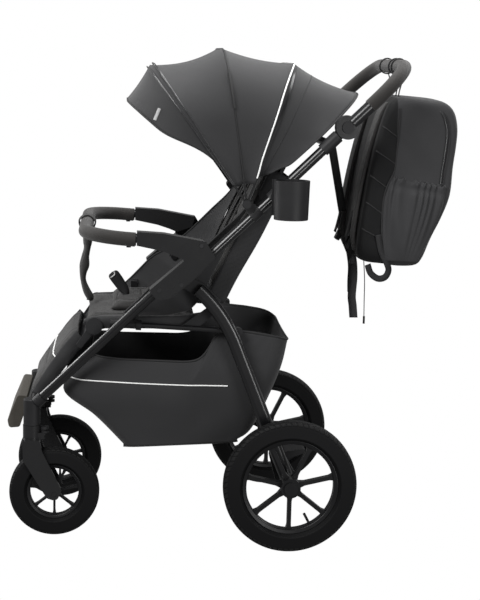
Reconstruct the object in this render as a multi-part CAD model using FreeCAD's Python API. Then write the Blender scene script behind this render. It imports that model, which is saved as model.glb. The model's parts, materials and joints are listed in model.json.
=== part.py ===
import FreeCAD, Part
import math
import os

# Folding baby stroller with a backpack on its handle.
# Millimetres. Front is -X, the handle is +X, the child's left side is -Y, the floor is Z = 0.
# Everything is drawn with the rear axle at X = 0 and the middle plane at Y = 0, and is moved at
# the end so that the origin is the middle of the whole object's footprint.

V = FreeCAD.Vector

# ---------------------------------------------------------------- driving dimensions
REAR_WHEEL_R = 150.0
REAR_TYRE_W = 46.0
REAR_RIM_R = 108.0
REAR_TRACK = 545.0
FRONT_WHEEL_R = 102.5
FRONT_TYRE_W = 40.0
FRONT_RIM_R = 63.0
FRONT_TRACK = 307.0
WHEELBASE = 528.0
CASTER_TRAIL = 52.0

PIVOT_X = -251.0            # main folding hinge
PIVOT_Z = 600.0
FRAME_Y = 240.0             # middle of the upper tubes
TUBE_R = 11.0
TUBE_WALL = 1.6
PIN_R = 5.0
HUB_DISTANCE = 498.0        # hinge to handle hub, along the upper tube
TUBE_ANGLE = 44.4
LINK_REACH = 174.0          # hinge to either end of the side link
HANDLE_REACH = 190.0        # hub to the crossbar of the handle
HANDLE_CORNER_R = 105.0
GRIP_R = 15.5
GRIP_START = 67.0
HUB_R = 26.0

LEG_W = 31.0                # oval rear leg, seen from the side
LEG_T = 20.0
LEG_Y = 218.0

CANOPY_R = (321.0, 334.0, 356.0)       # bow radius: rear, middle, front
CANOPY_ANGLE = (69.8, 98.8, 125.7)     # bow angle at rest: rear, middle, front
CANOPY_ALONG = 224.6                   # canopy pivot, along the upper tube from the hinge
CANOPY_OFF = 30.6                      # and square to it
REAR_EDGE_ANGLE = 46.5
VISOR_ANGLE = 21.0
VISOR_R = 330.0
CLOTH = 2.0

SEAT_Z = 499.0
SEAT_EDGE_TOP = 516.0
SEAT_TOP = 537.0
SEAT_FRONT = -468.0
SEAT_REAR = -212.0
SEAT_HALF_W = 169.0
BACK_ANGLE = 65.0
BACK_LENGTH = 425.0
BACK_THICK = 38.0

CUP_R = 35.0                # bore of the cup
CUP_WALL = 2.5
CUP_DEPTH = 80.0
CUP_X = -20.0
CUP_TOP = 836.0

BAG_TOP = 1000.0
BAG_BOTTOM = 625.0
BAG_HALF_W = 150.0

SHAFT_CLEARANCE = 0.05      # radial, pins that turn in their holes
GAP = 0.6                   # between parts that move past each other
SOFT_GAP = 1.0              # around padded parts

nodes = {}


# ---------------------------------------------------------------- drawing helpers
def box(x0, x1, y0, y1, z0, z1):
    return Part.makeBox(x1 - x0, y1 - y0, z1 - z0, V(x0, y0, z0))


def rod(start, end, radius):
    axis = end - start
    return Part.makeCylinder(radius, axis.Length, start, axis)


def disc(x, z, y0, y1, radius):
    low, high = sorted((y0, y1))
    return Part.makeCylinder(radius, high - low, V(x, low, z), V(0, 1, 0))


def polar(origin, angle, distance, off=0.0):
    """Point at a distance along an angle in the XZ plane, and off to its left."""
    a = math.radians(angle)
    along = V(math.cos(a), 0, math.sin(a))
    across = V(-math.sin(a), 0, math.cos(a))
    return origin + along * distance + across * off


def rounded_path(points, radii):
    """Straight runs through the points, with a tangent arc at each inner point."""
    edges = []
    start = points[0]
    for i in range(1, len(points) - 1):
        corner = points[i]
        back = (points[i - 1] - corner).normalize()
        ahead = (points[i + 1] - corner).normalize()
        half = back.getAngle(ahead) / 2
        run = radii[i - 1] / math.tan(half)
        middle = (back + ahead).normalize()
        centre = corner + middle * (radii[i - 1] / math.sin(half))
        p, r = corner + back * run, corner + ahead * run
        q = centre - middle * radii[i - 1]
        if (p - start).Length > 1e-6:
            edges.append(Part.LineSegment(start, p).toShape())
        edges.append(Part.Arc(p, q, r).toShape())
        start = r
    edges.append(Part.LineSegment(start, points[-1]).toShape())
    return Part.Wire(edges)


def sweep_round(points, radii, radius):
    path = rounded_path(points, radii)
    axis = points[1] - points[0]
    profile = Part.Wire(Part.makeCircle(radius, points[0], axis))
    return Part.Wire(path).makePipeShell([profile], True, True)


def bent_tube(points, radii, radius, wall):
    return sweep_round(points, radii, radius).cut(sweep_round(points, radii, radius - wall))


def outline(corners):
    """Closed outline in the XZ plane from (x, z, corner radius) values."""
    edges = []
    count = len(corners)
    joins = []
    for i in range(count):
        x, z, radius = corners[i]
        corner = V(x, 0, z)
        back = (V(corners[i - 1][0], 0, corners[i - 1][1]) - corner).normalize()
        after = corners[(i + 1) % count]
        ahead = (V(after[0], 0, after[1]) - corner).normalize()
        if radius == 0:
            joins.append((corner, None, corner))
            continue
        half = back.getAngle(ahead) / 2
        run = radius / math.tan(half)
        middle = (back + ahead).normalize()
        top = corner + middle * (radius / math.sin(half) - radius)
        joins.append((corner + back * run, top, corner + ahead * run))
    for i in range(count):
        start, top, end = joins[i]
        if top is not None:
            edges.append(Part.Arc(start, top, end).toShape())
        follow = joins[(i + 1) % count][0]
        if (follow - end).Length > 1e-6:
            edges.append(Part.LineSegment(end, follow).toShape())
    return Part.Wire(edges)


def plate(corners, y0, y1):
    """An outline made thick along Y."""
    low, high = sorted((y0, y1))
    face = Part.Face(outline(corners))
    face.translate(V(0, low, 0))
    return face.extrude(V(0, high - low, 0))


def soften(shape, radius, pick=None):
    edges = [e for e in shape.Edges if pick is None or pick(e)]
    return shape.makeFillet(radius, edges)


def mirrored(shape):
    return shape.mirror(V(0, 0, 0), V(0, 1, 0))


def both(shape):
    """The left piece and its mirror image, as separate solids of one node."""
    return Part.makeCompound([shape, mirrored(shape)])


def add(name, shape):
    nodes[name] = shape


def add_pair(name, shape):
    """Left and right pieces as nodes of their own."""
    add(name + "_left", shape)
    add(name + "_right", mirrored(shape))


# ---------------------------------------------------------------- places worked out
PIVOT = V(PIVOT_X, 0, PIVOT_Z)
REAR_Y = REAR_TRACK / 2
FRONT_Y = FRONT_TRACK / 2
CASTER_X = -WHEELBASE - CASTER_TRAIL
CROWN_Z = 2 * FRONT_WHEEL_R + 6
CROWN_TOP = CROWN_Z + 16
COLLAR_TOP = CROWN_TOP + 31
HOUSING_Z = COLLAR_TOP + GAP
HOUSING_TOP = HOUSING_Z + 60
HOUSING_R = 19.0
STEM_R = 6.0
HUB = polar(PIVOT, TUBE_ANGLE, HUB_DISTANCE)
CANOPY = polar(PIVOT, TUBE_ANGLE, CANOPY_ALONG, CANOPY_OFF)
RIVET = PIVOT + V(-48, 0, -12)
TUBE_FOOT = V(CASTER_X + 16, -(FRONT_Y + 12), HOUSING_TOP - 2)
TUBE_HEAD = V(RIVET.x, -(FRAME_Y + 4), RIVET.z)
LEG_HEAD = PIVOT + V(39, 0, -17)
LEG_BEND = PIVOT + V(97, 0, -69)
AXLE = V(0, 0, REAR_WHEEL_R)
SHELL_Y = FRAME_Y + TUBE_R + 3
SHELL_T = 14.0
EYE_R = 12.0
LEG_IN = LEG_Y - LEG_T / 2
LEG_OUT = LEG_Y + LEG_T / 2
LINK_Y = LEG_IN - 14
LINK_FRONT = polar(PIVOT, 215.0, LINK_REACH)
LINK_REAR = polar(PIVOT, -41.0, LINK_REACH)
LINK_R = 6.0
SLEEVE_R = 9.0
BUMPER_Y = SHELL_Y - 1
BUMPER_SOCKET = PIVOT + V(-50, -BUMPER_Y, 93)
bumper_rise = V(-1, 0, 0.07).normalize()
TONGUE_R = 7.0
REST_HINGE = V(-441, 0, 491)
BACK_HINGE = V(-176, 0, 530)


def on_left(point, y):
    return V(point.x, -y, point.z)


# ---------------------------------------------------------------- rear frame
LEG_DOWN = (AXLE - LEG_BEND).normalize()
LEG_FOOT = AXLE + LEG_DOWN * 17
AXLE_R = 11.0
SPINDLE_R = 6.0


def stadium(centre, across, width, thick):
    """Two straight sides joined by half circles, for an oval tube."""
    a, b = centre - across * ((width - thick) / 2), centre + across * ((width - thick) / 2)
    side, tip = V(0, thick / 2, 0), across * (thick / 2)
    return Part.Wire([
        Part.LineSegment(a - side, b - side).toShape(),
        Part.Arc(b - side, b + tip, b + side).toShape(),
        Part.LineSegment(b + side, a + side).toShape(),
        Part.Arc(a + side, a - tip, a - side).toShape(),
    ])


def leg_solid(shrink=0.0):
    line = [on_left(p, LEG_Y) for p in (LEG_HEAD, LEG_BEND, LEG_FOOT)]
    along = (line[1] - line[0]).normalize()
    ring = stadium(line[0], V(-along.z, 0, along.x), LEG_W - shrink, LEG_T - shrink)
    return rounded_path(line, [330.0]).makePipeShell([ring], True, True)


leg = leg_solid().cut(leg_solid(2 * TUBE_WALL))
add_pair("rear_leg", leg.cut(disc(AXLE.x, AXLE.z, -LEG_IN + 5, -LEG_OUT - 5, AXLE_R)))

beam = disc(AXLE.x, AXLE.z, -LEG_OUT - 3, LEG_OUT + 3, AXLE_R)
beam = beam.cut(disc(AXLE.x, AXLE.z, -LEG_OUT + 20, LEG_OUT - 20, AXLE_R - TUBE_WALL))
SPINDLE_END = REAR_Y + 20
add("rear_axle", beam.fuse(disc(AXLE.x, AXLE.z, -SPINDLE_END, SPINDLE_END, SPINDLE_R).cut(
    disc(AXLE.x, AXLE.z, -LEG_OUT + 20, LEG_OUT - 20, SPINDLE_R + 1))))

knuckle = plate([
    (PIVOT_X - 14, PIVOT_Z - 2, 11), (PIVOT_X + 4, PIVOT_Z + 17, 12),
    (LEG_HEAD.x + 14, LEG_HEAD.z + 12, 8), (LEG_HEAD.x + 54, LEG_HEAD.z - 26, 4),
    (LEG_HEAD.x + 36, LEG_HEAD.z - 46, 4), (LEG_HEAD.x - 20, LEG_HEAD.z - 6, 14),
], -LEG_IN, -LEG_IN + 9)
knuckle = knuckle.fuse(disc(PIVOT_X, PIVOT_Z, -LEG_IN, -LEG_OUT, EYE_R))
knuckle = knuckle.cut(disc(PIVOT_X, PIVOT_Z, 0, -FRAME_Y, PIN_R))
bracket = plate([
    (-22, REAR_WHEEL_R - 20, 14), (-44, REAR_WHEEL_R + 62, 10),
    (-14, REAR_WHEEL_R + 66, 10), (22, REAR_WHEEL_R + 6, 14), (18, REAR_WHEEL_R - 20, 14),
], -LEG_IN, -LEG_IN + 16)
bracket = bracket.cut(disc(AXLE.x, AXLE.z, 0, -FRAME_Y, AXLE_R))
add("leg_fittings", Part.makeCompound([knuckle, mirrored(knuckle), bracket, mirrored(bracket)]))

pin = disc(PIVOT_X, PIVOT_Z, -LEG_IN + 12, -SHELL_Y - SHELL_T / 2, PIN_R)
pin = pin.fuse(disc(PIVOT_X, PIVOT_Z, -LEG_IN + 12, -LEG_IN + 9, PIN_R + 3))
add("fold_pins", both(pin))

# ---------------------------------------------------------------- rear wheels
SPOKES = 7


def turned(corners):
    """A ring turned about the Y axis from (radius, y, corner radius) values."""
    ring = Part.Face(outline(corners)).revolve(V(0, 0, 0), V(0, 0, 1), 360)
    ring.rotate(V(0, 0, 0), V(1, 0, 0), 90)
    return ring


def tyre(radius, seat, width):
    half = width / 2
    return turned([
        (seat, -half * 0.62, 0), (seat + 6, -half, 3), (radius, -half * 0.8, half * 0.62),
        (radius, half * 0.8, half * 0.62), (seat + 6, half, 3), (seat, half * 0.62, 0),
    ])


def rim(seat, wall, width, hub_r, hub_half, bore, root, tip):
    half = width * 0.31
    shape = turned([
        (seat - wall, -half * 0.8, 3), (seat, -half, 1.5), (seat, half, 1.5),
        (seat - wall, half * 0.8, 3),
    ])
    shape = shape.fuse(disc(0, 0, -hub_half, hub_half, hub_r))
    reach = seat - wall / 2
    blade = plate([
        (hub_r * 0.5, -root, 0), (hub_r * 1.5, -tip, 6), (reach - 14, -tip, 10),
        (reach, -tip * 1.9, 0), (reach, tip * 1.9, 0), (reach - 14, tip, 10),
        (hub_r * 1.5, tip, 6), (hub_r * 0.5, root, 0),
    ], -half * 0.55, half * 0.55)
    for i in range(SPOKES):
        spoke = blade.copy()
        spoke.rotate(V(0, 0, 0), V(0, 1, 0), 90 + i * 360 / SPOKES)
        shape = shape.fuse(spoke)
    return shape.cut(disc(0, 0, -hub_half - 1, hub_half + 1, bore)).removeSplitter()


def placed(shape, x, y, z):
    shape = shape.copy()
    shape.translate(V(x, y, z))
    return shape


rear_tyre = tyre(REAR_WHEEL_R, REAR_RIM_R, REAR_TYRE_W)
rear_rim = rim(REAR_RIM_R, 10, REAR_TYRE_W, 22, 24, SPINDLE_R + SHAFT_CLEARANCE, 10, 4.5)
hub_cap = disc(0, 0, -24, -30, 15)
stem = rod(V(0, 0, -REAR_RIM_R + 6), V(0, 0, -REAR_RIM_R + 36), 3)
stem.rotate(V(0, 0, 0), V(0, 1, 0), -28)
rear_rim = rear_rim.fuse([hub_cap, stem])
add_pair("rear_tyre", placed(rear_tyre, 0, -REAR_Y, REAR_WHEEL_R))
add_pair("rear_rim", placed(rear_rim, 0, -REAR_Y, REAR_WHEEL_R))

# ---------------------------------------------------------------- brake pedal
PEDAL_HALF_W = 34.0
pedal = disc(AXLE.x, AXLE.z, -PEDAL_HALF_W, PEDAL_HALF_W, AXLE_R + 7)
pedal = pedal.fuse(plate([
    (0, REAR_WHEEL_R - 4, 0), (14, REAR_WHEEL_R + 14, 4), (62, REAR_WHEEL_R + 22, 5),
    (64, REAR_WHEEL_R + 12, 4), (16, REAR_WHEEL_R - 6, 4),
], -PEDAL_HALF_W, PEDAL_HALF_W))
add("brake_pedal", pedal.cut(disc(AXLE.x, AXLE.z, -60, 60, AXLE_R + SHAFT_CLEARANCE)))

# ---------------------------------------------------------------- telescopic side links
link_way = (LINK_FRONT - LINK_REAR).normalize()
link = rod(on_left(LINK_REAR, LINK_Y), on_left(LINK_FRONT - link_way * 6, LINK_Y), LINK_R)
link = link.fuse(disc(LINK_REAR.x, LINK_REAR.z, -LINK_Y - LINK_R, -LINK_Y + LINK_R, 9))
link_pin_hole = disc(LINK_REAR.x, LINK_REAR.z, 0, -LEG_IN, 3 + SHAFT_CLEARANCE)
add("side_links", both(link.cut(link_pin_hole)))

sleeve = rod(on_left(LINK_FRONT + link_way * 12, LINK_Y),
             on_left(LINK_FRONT - link_way * 58, LINK_Y), SLEEVE_R)
sleeve = sleeve.fuse(rod(on_left(LINK_FRONT - link_way * 46, LINK_Y),
                         on_left(LINK_FRONT - link_way * 58, LINK_Y), SLEEVE_R + 2.5))
sleeve = sleeve.cut(rod(on_left(LINK_FRONT + link_way * 20, LINK_Y),
                        on_left(LINK_FRONT - link_way * 70, LINK_Y), LINK_R + SHAFT_CLEARANCE))
sleeve = sleeve.cut(disc(LINK_FRONT.x, LINK_FRONT.z, -LINK_Y - LINK_R - 0.5, -LEG_IN,
                      2.5 + SHAFT_CLEARANCE))
add("side_sleeves", both(sleeve))

link_pin = disc(LINK_REAR.x, LINK_REAR.z, -LINK_Y + LINK_R, -LEG_IN, 3)
link_lug = plate([
    (LINK_REAR.x - 10, LINK_REAR.z - 10, 8), (LINK_REAR.x - 10, LINK_REAR.z + 10, 8),
    (LINK_REAR.x + 10, LINK_REAR.z + 10, 8), (LINK_REAR.x + 10, LINK_REAR.z - 10, 8),
], -LINK_Y - LINK_R - GAP, -LEG_IN)
link_lug = link_lug.fuse(link_pin)
nodes["leg_fittings"] = Part.makeCompound(nodes["leg_fittings"].Solids + both(link_lug).Solids)

# ---------------------------------------------------------------- front frame
tube_way = (TUBE_HEAD - TUBE_FOOT).normalize()


def grooved_tube(start, end, radius):
    """A hollow straight tube with a groove along its outer side."""
    tube = rod(start, end, radius).cut(rod(start, end, radius - TUBE_WALL))
    out = V(0, -(radius + 1.6), 0)
    return tube.cut(rod(start + out, end + out, 2.6))


housing = Part.makeCylinder(HOUSING_R, HOUSING_TOP - HOUSING_Z, V(CASTER_X, -FRONT_Y, HOUSING_Z))
housing = soften(housing, 3, lambda e: e.BoundBox.ZMin > HOUSING_TOP - 1)
ferrule = rod(TUBE_FOOT - tube_way * 6, TUBE_FOOT + tube_way * 14, TUBE_R + 3)
stem_hole = Part.makeCylinder(STEM_R + SHAFT_CLEARANCE, 50, V(CASTER_X, -FRONT_Y, HOUSING_Z - 1))
housing = housing.fuse(ferrule).cut(rod(TUBE_FOOT, TUBE_FOOT + tube_way * 30, TUBE_R))
housing = housing.cut(stem_hole)
add("caster_housings", both(housing))

lower_tube = grooved_tube(TUBE_FOOT, TUBE_HEAD, TUBE_R)
lower_tube = lower_tube.cut(stem_hole)
sleeve_pin = disc(LINK_FRONT.x, LINK_FRONT.z, -LINK_Y - SLEEVE_R + 2, -LEG_IN - 8, 2.5)
lower_tube = lower_tube.fuse(sleeve_pin.cut(rod(TUBE_FOOT, TUBE_HEAD, TUBE_R - TUBE_WALL)))
add_pair("lower_tube", lower_tube)

crossbar = disc(CASTER_X, HOUSING_TOP - 18, -FRONT_Y, FRONT_Y, 9)
for y in (-FRONT_Y, FRONT_Y):
    crossbar = crossbar.cut(Part.makeCylinder(HOUSING_R, 90, V(CASTER_X, y, HOUSING_Z - 5)))
step = box(CASTER_X - 12, CASTER_X + 12, -100, 100, HOUSING_TOP - 24, HOUSING_TOP - 12)
add("front_crossbar", crossbar.fuse(step).removeSplitter())


def shell():
    x, z = PIVOT_X, PIVOT_Z
    outer = plate([
        (x - 98, z + 115, 0), (x - 40, z + 112, 60), (x + 52, z + 96, 5), (x + 73, z + 62, 4),
        (x + 28, z + 13, 30), (x - 24, z - 30, 14), (x - 52, z - 35, 16), (x - 70, z - 13, 3),
        (x + 7, z + 55, 4), (x - 42, z + 74, 30), (x - 98, z + 85, 0),
    ], -SHELL_Y, -SHELL_Y - SHELL_T)
    arm = plate([
        (x - 98, z + 115, 0), (x - 40, z + 112, 60), (x + 52, z + 96, 5), (x + 44, z + 70, 4),
        (x + 8, z + 58, 4), (x - 42, z + 74, 30), (x - 98, z + 85, 0),
    ], -SHELL_Y, -SHELL_Y + 18)
    tube_seat = plate([
        (x - 70, z - 13, 3), (x + 7, z + 55, 3), (x + 18, z + 42, 0), (x - 52, z - 30, 2),
    ], -SHELL_Y, -SHELL_Y + 22)
    body = outer.fuse([arm, tube_seat]).removeSplitter()
    socket = rod(BUMPER_SOCKET, BUMPER_SOCKET + bumper_rise * 70, TONGUE_R + SHAFT_CLEARANCE)
    body = body.cut(socket).cut(rod(TUBE_HEAD - tube_way * 80, TUBE_HEAD + tube_way * 1, TUBE_R))
    body = body.cut(disc(x, z, -FRAME_Y, -SHELL_Y - SHELL_T / 2 - GAP, PIN_R + SHAFT_CLEARANCE))
    return body


add_pair("hinge_shell", shell())

screw_face = -SHELL_Y - SHELL_T
screws = [disc(PIVOT_X + dx, PIVOT_Z + dz, screw_face, screw_face - 1.6, 4.6)
          for dx, dz in ((0, 0), (-48, -12), (42, 87))]
add("shell_screws", Part.makeCompound(screws + [mirrored(s) for s in screws]))

BOARD_T = 10.0
BOARD_Z = SEAT_Z - SOFT_GAP - BOARD_T
board = box(REST_HINGE.x - 2, SEAT_REAR, -SEAT_HALF_W, SEAT_HALF_W, BOARD_Z, BOARD_Z + BOARD_T)
ARM = (-358.0, -342.0)
ARM_TOP = 541.0
tube_share = (sum(ARM) / 2 - TUBE_FOOT.x) / (TUBE_HEAD.x - TUBE_FOOT.x)
ARM_REACH = TUBE_FOOT.y + (TUBE_HEAD.y - TUBE_FOOT.y) * tube_share + 6
arm = box(*ARM, -SEAT_HALF_W - 6, -SEAT_HALF_W + 4, BOARD_Z, BOARD_Z + BOARD_T)
arm = arm.fuse(box(*ARM, -SEAT_HALF_W - 6, -SEAT_HALF_W - 1.5, BOARD_Z, ARM_TOP))
arm = arm.fuse(box(*ARM, ARM_REACH, -SEAT_HALF_W - 1.5, ARM_TOP - 10, ARM_TOP))
arm = arm.cut(rod(TUBE_FOOT, TUBE_HEAD, TUBE_R))
ear = plate([
    (SEAT_REAR - 30, BOARD_Z, 0), (SEAT_REAR - 30, BOARD_Z + BOARD_T, 0),
    (BACK_HINGE.x - 6, BACK_HINGE.z + 12, 9), (BACK_HINGE.x + 12, BACK_HINGE.z, 9),
    (SEAT_REAR, BOARD_Z, 0),
], -SEAT_HALF_W - 17, -SEAT_HALF_W - 13)
ear = ear.fuse(box(SEAT_REAR - 30, SEAT_REAR, -SEAT_HALF_W - 17, -SEAT_HALF_W, BOARD_Z,
                   BOARD_Z + BOARD_T))
ear = ear.fuse(disc(BACK_HINGE.x, BACK_HINGE.z, -SEAT_HALF_W - 15, -SEAT_HALF_W + 9, 5))
ear = ear.fuse(disc(BACK_HINGE.x, BACK_HINGE.z, -SEAT_HALF_W - 13.5, -SEAT_HALF_W - 2.1, 9))
lug = plate([
    (REST_HINGE.x - 12, REST_HINGE.z - 10, 7), (REST_HINGE.x - 12, REST_HINGE.z + 6, 7),
    (REST_HINGE.x + 6, BOARD_Z + BOARD_T, 0), (REST_HINGE.x + 40, BOARD_Z + BOARD_T, 0),
    (REST_HINGE.x + 40, BOARD_Z, 0), (REST_HINGE.x + 12, REST_HINGE.z - 10, 6),
], -SEAT_HALF_W + 12, -SEAT_HALF_W)
lug = lug.fuse(disc(REST_HINGE.x, REST_HINGE.z, -SEAT_HALF_W, -SEAT_HALF_W - 14, 4))
for part in (arm, ear, lug):
    board = board.fuse([part, mirrored(part)])
add("seat_board", board.removeSplitter())

seat = box(SEAT_FRONT, SEAT_REAR, -SEAT_HALF_W, SEAT_HALF_W, SEAT_Z, SEAT_EDGE_TOP)
insert = box(SEAT_FRONT + 52, SEAT_REAR, -125, 125, SEAT_EDGE_TOP - 1, SEAT_TOP)
insert = soften(insert, 10, lambda e: e.BoundBox.ZMin > SEAT_TOP - 1)
add("seat_pad", seat.fuse(insert))

foot = plate([
    (CASTER_X - 12 - SOFT_GAP, HOUSING_TOP - 4, 3), (CASTER_X - 34, HOUSING_TOP - 2, 8),
    (CASTER_X - 58, 258, 12), (CASTER_X - 54, 240, 7), (CASTER_X - 30, 242, 8),
    (CASTER_X - 12 - SOFT_GAP, HOUSING_TOP - 24, 10),
], -115, 115)
add("footrest", foot.cut(disc(CASTER_X, HOUSING_TOP - 18, -130, 130, 9 + 0.2)))

# ---------------------------------------------------------------- leg rest
rest_way = V(-119, 0, -166).normalize()
rest_angle = math.degrees(math.atan2(rest_way.z, rest_way.x))


def rest_point(along, off):
    p = polar(REST_HINGE, rest_angle, along, -off)
    return (p.x, p.z)


frame = plate([(*rest_point(14, -4), 3), (*rest_point(14, 4), 3), (*rest_point(196, 4), 3),
               (*rest_point(196, -4), 3)], -146, 146)
knob = disc(REST_HINGE.x, REST_HINGE.z, -SEAT_HALF_W - 1, -SEAT_HALF_W - 14, 19)
knob = knob.fuse(plate([(*rest_point(0, -9), 0), (*rest_point(0, 9), 0), (*rest_point(60, 7), 3),
                        (*rest_point(60, -7), 3)], -SEAT_HALF_W - 1, -SEAT_HALF_W - 7))
knob = knob.fuse(plate([(*rest_point(46, -6), 0), (*rest_point(46, 3), 0),
                        (*rest_point(60, 3), 0), (*rest_point(60, -6), 0)],
                       -SEAT_HALF_W - 7, -140))
knob = knob.cut(disc(REST_HINGE.x, REST_HINGE.z, -140, -SEAT_HALF_W - 20, 4 + SHAFT_CLEARANCE))
add("legrest_frame", frame.fuse([knob, mirrored(knob)]).removeSplitter())
add("legrest_pad", plate([
    (SEAT_FRONT - SOFT_GAP, 486, 6), (-488, 469, 12), (-509, 444, 30), (-543, 398, 60),
    (-570, 356, 30), (-591, 324, 5), (*rest_point(210, 5), 4), (*rest_point(43, 5), 6),
], -149, 149))

# ---------------------------------------------------------------- casters
HUB_X = -WHEELBASE
FORK_GAP = FRONT_TYRE_W / 2 + 3
FORK_T = 8.0


def fork():
    x, y = CASTER_X, -FRONT_Y
    cheek = plate([
        (x - 20, CROWN_TOP, 5), (x + 19, CROWN_TOP, 5), (x + 25, CROWN_TOP - 26, 20),
        (HUB_X + 18, FRONT_WHEEL_R + 8, 14), (HUB_X + 6, FRONT_WHEEL_R - 17, 12),
        (HUB_X - 16, FRONT_WHEEL_R - 10, 12), (x - 18, CROWN_Z - 30, 30),
    ], y - FORK_GAP - FORK_T, y - FORK_GAP)
    inner = cheek.copy()
    inner.translate(V(0, 2 * FORK_GAP + FORK_T, 0))
    crown = box(x - 20, x + 19, y - FORK_GAP - 1, y + FORK_GAP + 1, CROWN_Z, CROWN_TOP)
    collar = Part.makeCylinder(20, COLLAR_TOP - CROWN_TOP, V(x, y, CROWN_TOP))
    stem = Part.makeCylinder(STEM_R, 44, V(x, y, COLLAR_TOP))
    bolt = disc(HUB_X, FRONT_WHEEL_R, y - FORK_GAP - FORK_T - 1.5, y + FORK_GAP + FORK_T + 1.5, 5)
    ears = [box(x + 8, x + 29, y + s * 12.5 - 2, y + s * 12.5 + 2, CROWN_TOP, CROWN_TOP + 14)
            for s in (-1, 1)]
    lever_pin = disc(x + 25, CROWN_TOP + 8, y - 12, y + 12, 2)
    return cheek.fuse([inner, crown, collar, stem, bolt, lever_pin] + ears).removeSplitter()


def swivel_lock():
    x, y, z = CASTER_X + 25, -FRONT_Y, CROWN_TOP + 8
    lever = disc(x, z, y - 9.5, y + 9.5, 3.4)
    lever = lever.fuse(box(x - 2, x + 3, y - 9.5, y + 9.5, z, z + 6))
    for low, high in ((z + 4, z + 9), (z + 13, z + 19)):
        tier = Part.makeCylinder(10, high - low, V(x + 3, y, low))
        lever = lever.fuse(tier.common(box(x - 3, x + 20, y - 20, y + 20, low, high)))
    lever = lever.fuse(box(x - 2.5, x + 6, y - 6, y + 6, z + 8, z + 14))
    return lever.cut(disc(x, z, y - 12, y + 12, 2 + SHAFT_CLEARANCE)).removeSplitter()


add_pair("fork", fork())
add_pair("swivel_lock", swivel_lock())

front_tyre = tyre(FRONT_WHEEL_R, FRONT_RIM_R, FRONT_TYRE_W)
front_rim = rim(FRONT_RIM_R, 8, FRONT_TYRE_W, 13, FRONT_TYRE_W / 2 + 1, 5 + SHAFT_CLEARANCE, 5, 2.4)
add_pair("front_tyre", placed(front_tyre, HUB_X, -FRONT_Y, FRONT_WHEEL_R))
add_pair("front_rim", placed(front_rim, HUB_X, -FRONT_Y, FRONT_WHEEL_R))

# ---------------------------------------------------------------- bumper bar
BUMPER_R = 15.5
bumper_end = BUMPER_SOCKET + bumper_rise * 51.6
BUMPER_REACH = 110.0        # shell seam to the front of the bar
BUMPER_CORNER_R = 92.0
bumper_corner = bumper_end + bumper_rise * BUMPER_REACH
bumper_line = [bumper_end, bumper_corner, on_left(bumper_corner, -BUMPER_Y),
               on_left(bumper_end, -BUMPER_Y)]
corner_radii = [BUMPER_CORNER_R, BUMPER_CORNER_R]
cover = sweep_round(bumper_line, corner_radii, BUMPER_R)
core = sweep_round(bumper_line, corner_radii, BUMPER_R - 5)
add("bumper_cover", cover.cut(core))
tongue = rod(bumper_end - bumper_rise * 40, bumper_end + bumper_rise * 4, TONGUE_R)
tongue = tongue.fuse(rod(bumper_end, bumper_end + bumper_rise * 8, BUMPER_R - 5))
BUTTON_X = bumper_end.x - 14
button_hole = Part.makeCylinder(5.4, 12, V(BUTTON_X, -BUMPER_Y, bumper_end.z - BUMPER_R - 2))
core = core.cut(sweep_round(bumper_line, corner_radii, BUMPER_R - 5 - 2))
core = core.fuse([tongue, mirrored(tongue)])
add("bumper_bar", core.cut(both(button_hole)))
nodes["bumper_cover"] = nodes["bumper_cover"].cut(both(button_hole))
button = Part.makeCylinder(5, 5, V(BUTTON_X, -BUMPER_Y, bumper_end.z - BUMPER_R - 1.5))
add("bumper_buttons", both(button))

# ---------------------------------------------------------------- upper frame
upper_way = polar(V(0, 0, 0), TUBE_ANGLE, 1)
SLEEVE_START = HUB_DISTANCE - 73
SLEEVE_END = HUB_DISTANCE - HUB_R - 1.5
UPPER_SLEEVE_R = TUBE_R + 3.5
HUB_SPLIT = FRAME_Y + 0.3
HUB_OUT = FRAME_Y + 14


def on_tube(distance, off=0.0, y=FRAME_Y):
    return on_left(polar(PIVOT, TUBE_ANGLE, distance, off), y)


upper_tube = grooved_tube(on_tube(8), on_tube(SLEEVE_END - 4), TUBE_R)
eye = disc(PIVOT_X, PIVOT_Z, -FRAME_Y + TUBE_R, -FRAME_Y - TUBE_R, EYE_R)
upper_tube = upper_tube.fuse(eye)
upper_tube = upper_tube.cut(disc(PIVOT_X, PIVOT_Z, 0, -SHELL_Y, PIN_R + SHAFT_CLEARANCE))
add_pair("upper_tube", upper_tube)

hub = rod(on_tube(SLEEVE_START), on_tube(SLEEVE_END), UPPER_SLEEVE_R)
hub = hub.cut(rod(on_tube(SLEEVE_START - 5), on_tube(SLEEVE_END - 4), TUBE_R))
neck = plate([
    (*on_tube(SLEEVE_END - 8, -11)[0:3:2], 0), (*on_tube(HUB_DISTANCE, -11)[0:3:2], 0),
    (*on_tube(HUB_DISTANCE, 11)[0:3:2], 0), (*on_tube(SLEEVE_END - 8, 11)[0:3:2], 0),
], -FRAME_Y + 14, -FRAME_Y)
neck = neck.cut(rod(on_tube(SLEEVE_START), on_tube(SLEEVE_END - 4), TUBE_R))
hub = hub.fuse([neck, disc(HUB.x, HUB.z, -FRAME_Y + 14, -FRAME_Y, HUB_R),
                disc(HUB.x, HUB.z, -FRAME_Y, -FRAME_Y - 5, 4)])
add("handle_hubs", both(hub.removeSplitter()))

bar = polar(PIVOT, TUBE_ANGLE, SLEEVE_START + 20)
crossbar = disc(bar.x, bar.z, -FRAME_Y, FRAME_Y, 9).cut(
    disc(bar.x, bar.z, -FRAME_Y + 30, FRAME_Y - 30, 9 - TUBE_WALL))
around = rod(on_tube(SLEEVE_START), on_tube(SLEEVE_END), UPPER_SLEEVE_R)
crossbar = crossbar.cut([around, mirrored(around)])
add("upper_crossbar", crossbar)

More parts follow.
